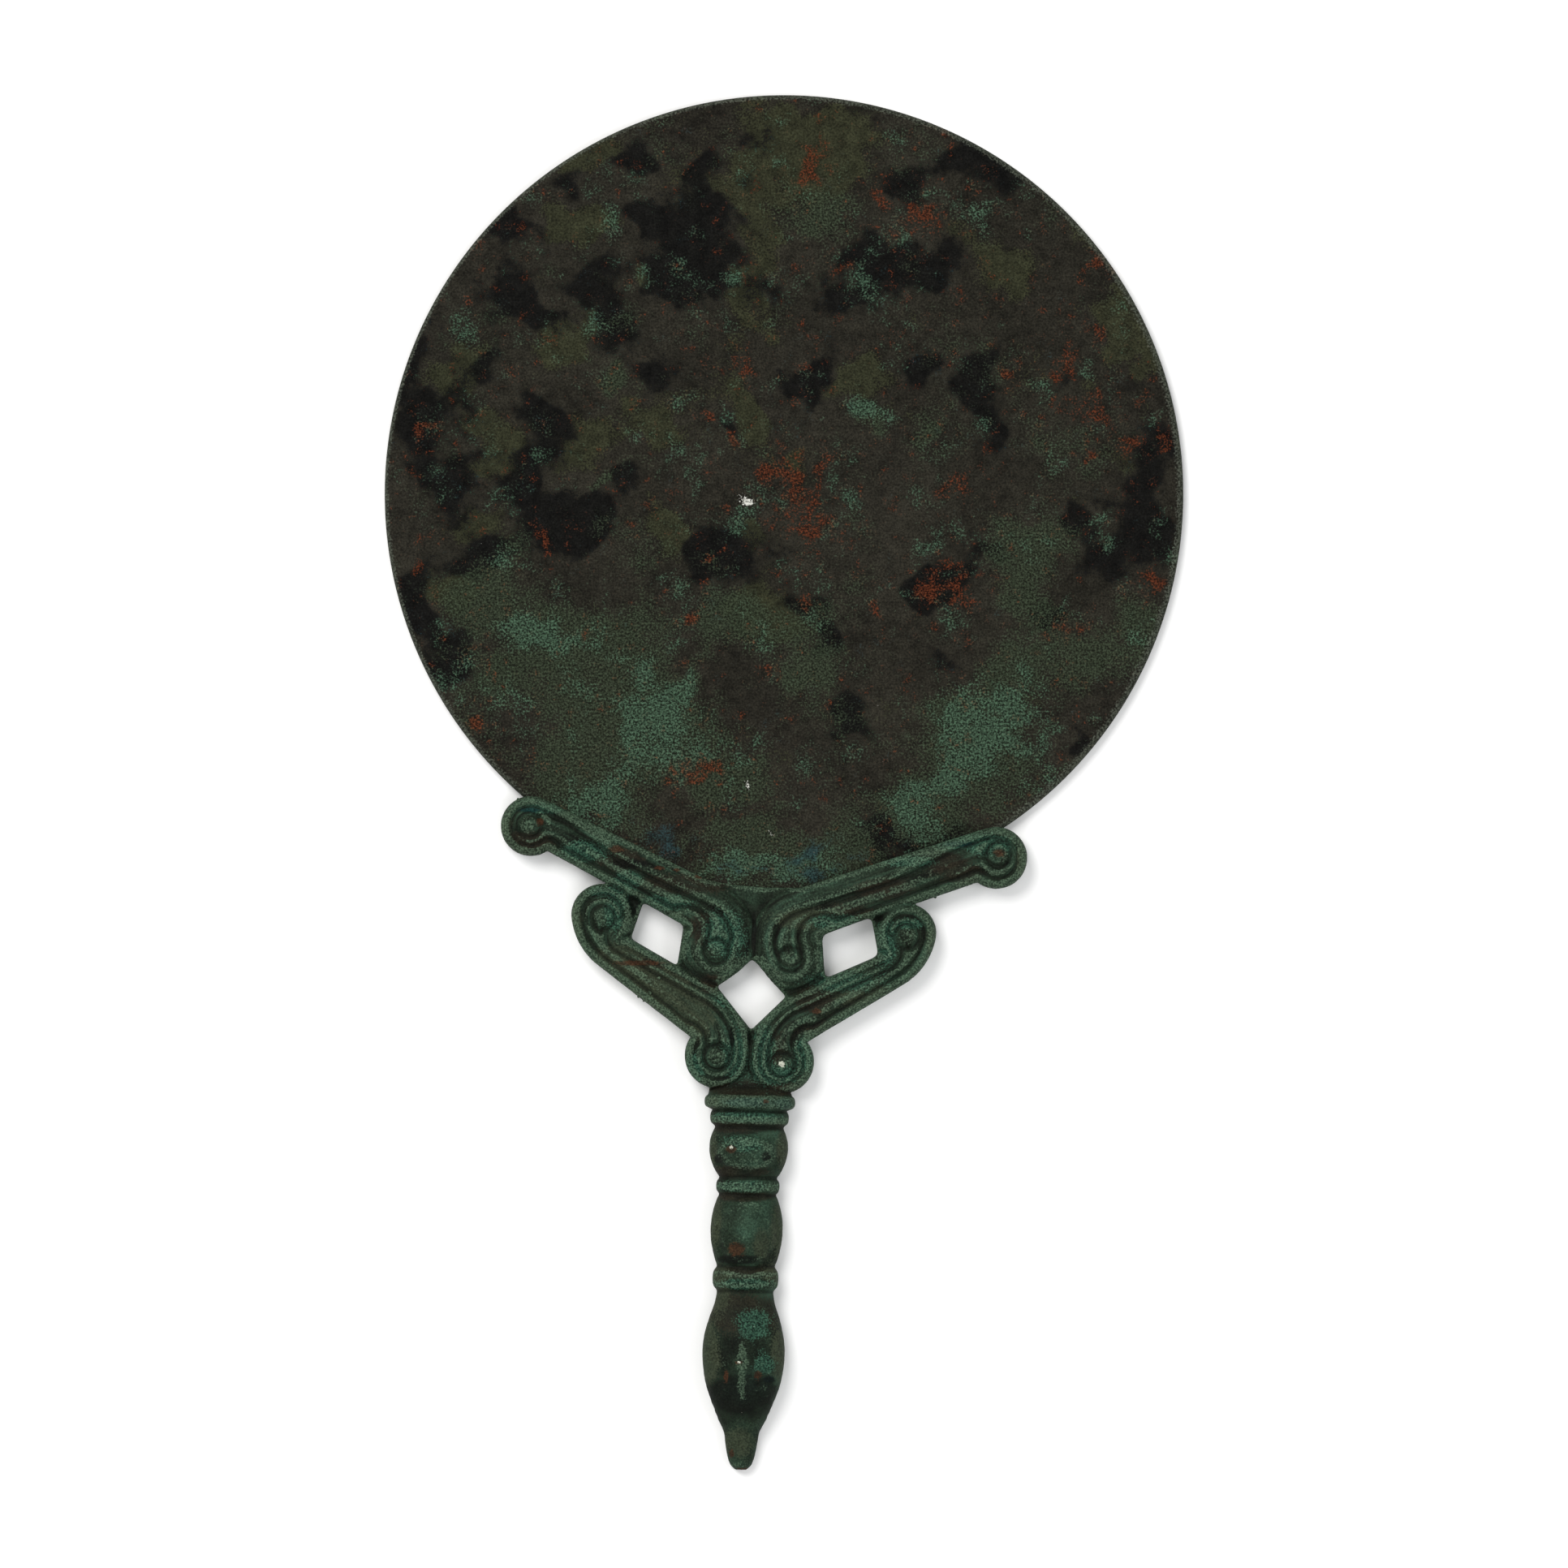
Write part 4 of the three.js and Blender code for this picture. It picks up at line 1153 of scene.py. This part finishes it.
handleStains = {
    "brown": [
        (-52, -70, 6, 2.5), (-33, -73, 5, 2), (-20, -78, 8, 2), (-28, -94, 6, 1.2), (-16, -87, 3, 3),
        (-14, -98, 3, 2), (32, -73.5, 4, 2), (36, -76, 4, 2), (20, -79, 6, 2), (13, -84, 5, 2),
        (-3, -112, 3, 5), (-8, -119, 8, 1.5), (-8, -126.5, 8, 1.2), (-8, -140.5, 6, 1),
        (-9, -135.5, 6, 1.2), (6, -101, 4, 3), (-8, -164, 8, 4), (-9, -155.5, 6, 1), (15, -107, 10, 1.5),
        (0, -119, 4, 1),
    ],
    "teal": [
        (-40, -71.5, 5, 2), (-48, -63, 4, 1), (-31, -77, 3, 1.5), (-25, -82, 6, 1.5), (-36, -79.5, 3, 1),
        (-34, -84, 2, 3), (-12, -88, 4, 4), (35, -69.5, 6, 1.5), (25, -73.5, 5, 1), (41, -70, 4, 2),
        (25, -86, 3, 1), (20.5, -90, 2, 4), (10, -85.5, 5, 1.5), (12, -97.5, 7, 2), (-10, -112, 2, 5),
        (-2, -116, 4, 2), (-4, -111, 2, 5), (-8, -124.5, 6, 1), (-8, -130, 4, 1.5), (-8, -138.5, 5, 1),
        (-8, -158, 5, 1), (-6, -166, 3, 3), (-18, -115, 2, 3), (-9, -101, 4, 2), (-4, -174, 2, 2),
        (4, -112, 2, 3),
    ],
    # Pale patina inside the scrolls, and painted highlight along the outer edges of the volutes and both
    # flanks of the shaft, where the side walls catch the light.
    "paleAndSideHighlight": [
        (-56, -65, 1.5, 4), (-42, -86, 1.5, 5), (-33, -93, 5, 3), (-25, -99, 6, 4), (-18, -105, 4, 4),
        (-15, -122, 2, 1.5), (-15, -131, 1.5, 4), (0, -131, 1.5, 4), (-14, -145, 1.5, 5),
        (-1, -147, 1.5, 5), (-13.5, -156, 2, 2), (-2, -156, 2, 2), (-15, -172, 2, 6), (-1, -172, 1.5, 5),
        (48, -73, 1.5, 4), (30, -90, 1.5, 4), (-4.5, -150, 1.5, 3), (4, -85, 6, 2), (15, -99, 6, 3),
        (-9, -190, 3, 3), (-13, -160, 2, 4),
    ],
    "azure": [
        (-7, -121.6, 5, 0.9), (0, -122, 1.5, 1), (35, -70, 3, 0.5), (-51, -63.2, 2, 0.4),
        (-3, -177, 1, 0.6),
    ],
    "rust": [
        (-33.5, -71, 1.5, 0.7), (-25, -74.8, 1, 0.4), (-17, -76.5, 0.8, 0.4), (-21.5, -75.2, 0.7, 0.3),
        (43, -71.8, 1, 0.8), (-29, -93.8, 5, 0.5), (-11.6, -176.4, 0.5, 1.1), (-5.2, -176, 0.8, 0.8),
        (-10.5, -131, 1, 0.7), (-9.5, -151, 1.5, 1.3), (-8, -195.5, 1.6, 0.5), (-10.5, -192, 0.5, 0.8),
        (6.5, -103.5, 1, 0.5), (-3.6, -121.4, 0.5, 0.4), (-48.8, -65.5, 0.8, 0.8),
        (-9, -173.5, 0.7, 0.3),
    ],
    "soot": [
        (-31, -74, 4, 0.9), (-5.4, -178.4, 0.8, 0.9), (-3, -177.2, 1.1, 0.6), (-6, -88, 0.4, 5),
        (-3, -96.5, 3, 1.5), (-30, -82, 1.5, 2), (18.5, -84.8, 1.5, 0.7), (-13, -133, 1, 0.8),
        (-3.5, -132.5, 1, 1), (-10.4, -108.5, 0.6, 2), (-8.7, -180, 7, 4), (-9, -153, 4, 1),
    ],
    "chalk": [
        (-0.5, -114, 0.6, 0.5), (-9, -173.5, 0.5, 0.2), (-10.5, -130.6, 0.4, 0.3),
    ],
}
handleFinish = {
    "name": "handlePatina",
    "ground": ((17, 24, 17), (40, 52, 39)),
    "grainSize": 0.00038,
    "speckle": 0.85,
    "grainLift": 0.35,
    "bump": 0.5,
    "roughness": 0.6,
    "specular": 0.05,
    # Streak colours: painted shade in the casting lines' grooves, painted highlight on their crests.
    "streaks": ((12, 15, 11), (56, 82, 66)),
    "stains": [
        {"field": "brown", "colors": ((18, 16, 12), (42, 37, 28)),
         "size": 0.004, "spread": 1.2, "softness": 0.25, "cover": 0.8, "lift": -0.2},
        # Pale patina, and painted highlight on the side walls of the volutes and the shaft.
        {"field": "paleAndSideHighlight", "colors": ((36, 42, 31), (60, 66, 50)),
         "size": 0.005, "spread": 1.0, "softness": 0.3, "cover": 0.75, "lift": 0.2},
        {"field": "teal", "colors": ((16, 36, 29), (50, 82, 66)),
         "size": 0.003, "spread": 1.5, "softness": 0.25, "cover": 0.8, "lift": 0.3, "sandy": True},
        {"field": "azure", "colors": ((6, 26, 28), (22, 58, 56)),
         "size": 0.003, "spread": 1.0, "softness": 0.25, "cover": 0.85, "lift": 0.1},
        {"field": "soot", "colors": ((7, 10, 8), (17, 18, 15)),
         "size": 0.002, "spread": 1.3, "softness": 0.2, "cover": 0.85, "lift": -0.3},
        # Painted shade in the clefts, from the standing height.
        {"field": "paintedCleftShade", "colors": ((8, 10, 8), (22, 23, 18)),
         "size": 0.002, "spread": 0.9, "softness": 0.35, "cover": 0.6, "lift": 0.0},
        # Wear and painted highlight on the ridges, from the standing height.
        {"field": "wearAndHighlight", "colors": ((38, 54, 42), (84, 104, 84)),
         "size": 0.0015, "spread": 1.2, "softness": 0.3, "cover": 0.5, "lift": 0.1, "sandy": True},
        {"field": "rust", "colors": ((26, 18, 12), (70, 44, 28)),
         "size": 0.0015, "spread": 1.4, "softness": 0.25, "cover": 0.8, "lift": 0.3},
        {"field": "chalk", "colors": ((120, 122, 110), (210, 212, 196)),
         "size": 0.001, "spread": 1.6, "softness": 0.2, "cover": 0.9, "lift": 0.4},
    ],
}


# How deep each point lies in from the edges of its scroll, which the casting's fine lines follow.
def castLines(points):
    depth = np.full(points.shape, 6.0)
    for index, scroll in enumerate(scrolls.values()):
        inside = outlineDistance(points, scroll["outline"]) < 0.3
        edges = [pathDistance(points[inside], path) for path in scroll["paths"].values()]
        depth[inside] = np.minimum(*edges) + 9.0 * index
    return depth


# Height of each point over its surroundings: ridges are above nought, clefts below.
def standing(mesh, rounds):
    place = positions(mesh)
    return ((relaxed(mesh, place, 2) - relaxed(mesh, place, rounds)) * vertexNormals(mesh)).sum(1)


def makeHandle(corrosion):
    low = (handleLow[0] / mm, handle["headFoot"])
    high = (handleHigh[0] / mm, handleHigh[1] / mm)
    piece = makeObject("castHandle", *sheetMesh(headDistance, headHeight, low, high, casting["cell"],
                                                casting["wallRows"]))
    print("scrolls cast")
    combine(piece, makeObject("shaft", *shaftMesh()), "UNION")
    combine(piece, seatCutter(), "DIFFERENCE")
    print("shaft joined, seat cut")
    mesh = piece.data
    place = positions(mesh)
    x, y, z = place.T
    overDisc = np.hypot(x, y) - casting["seatRadius"]
    seat = (np.abs(overDisc) < 0.05) & (z < casting["seatTop"] + 0.05)
    seat |= (overDisc < 0.05) & (np.abs(z - casting["seatTop"]) < 0.02)
    free = smooth(0.02, 0.5, z) * np.where(seat, 0, 1)
    soft = relaxed(mesh, place, handle["softenRounds"])
    setPositions(mesh, place + (soft - place) * free[:, None])
    up = smooth(-0.3, 0.3, vertexNormals(mesh)[:, 2])
    storeValue(mesh, "loose", free)
    storeValue(mesh, "crust", stainField(x, y, handle["crustPlaces"]) * free)
    storeValue(mesh, "crumbs", stainField(x, y, handle["crumbPlaces"]) * free * up)
    runTree(piece, corrosion, dict(handle["corrosion"]))
    finish = patina(handleFinish)
    runTree(piece, crumbTree(), dict(handle["crumbs"], Finish=finish))
    mesh = piece.data
    place = positions(mesh)
    place = np.clip(place, np.array(handleLow) / mm, np.array(handleHigh) / mm)
    setPositions(mesh, place)
    x, y, z = place.T
    for name, ovals in handleStains.items():
        storeValue(mesh, name, stainField(x, y, ovals))
    storeValue(mesh, "line", castLines(x + 1j * y))
    lift = standing(mesh, handle["standingRounds"])
    # Painted shade: dark where a point sinks below its surroundings.
    storeValue(mesh, "paintedCleftShade", smooth(*handle["paintedCleftShade"], lift))
    # Wear and painted highlight: lighter where a point stands above its surroundings.
    storeValue(mesh, "wearAndHighlight", smooth(*handle["wearAndHighlight"], lift))
    print("handle patinated")
    return piece


# ---- putting the pieces in the frame ----
def settle(piece, node):
    mesh = piece.data
    setPositions(mesh, positions(mesh) * mm)
    mesh.polygons.foreach_set("use_smooth", np.ones(len(mesh.polygons), bool))
    mesh.update()
    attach(piece, "root")
    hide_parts(node)
    print(piece.name, sum(len(polygon.vertices) - 2 for polygon in mesh.polygons), "triangles")


corrosion = corrosionTree()
settle(makeDisc(corrosion), "disc")
settle(makeHandle(corrosion), "handle")
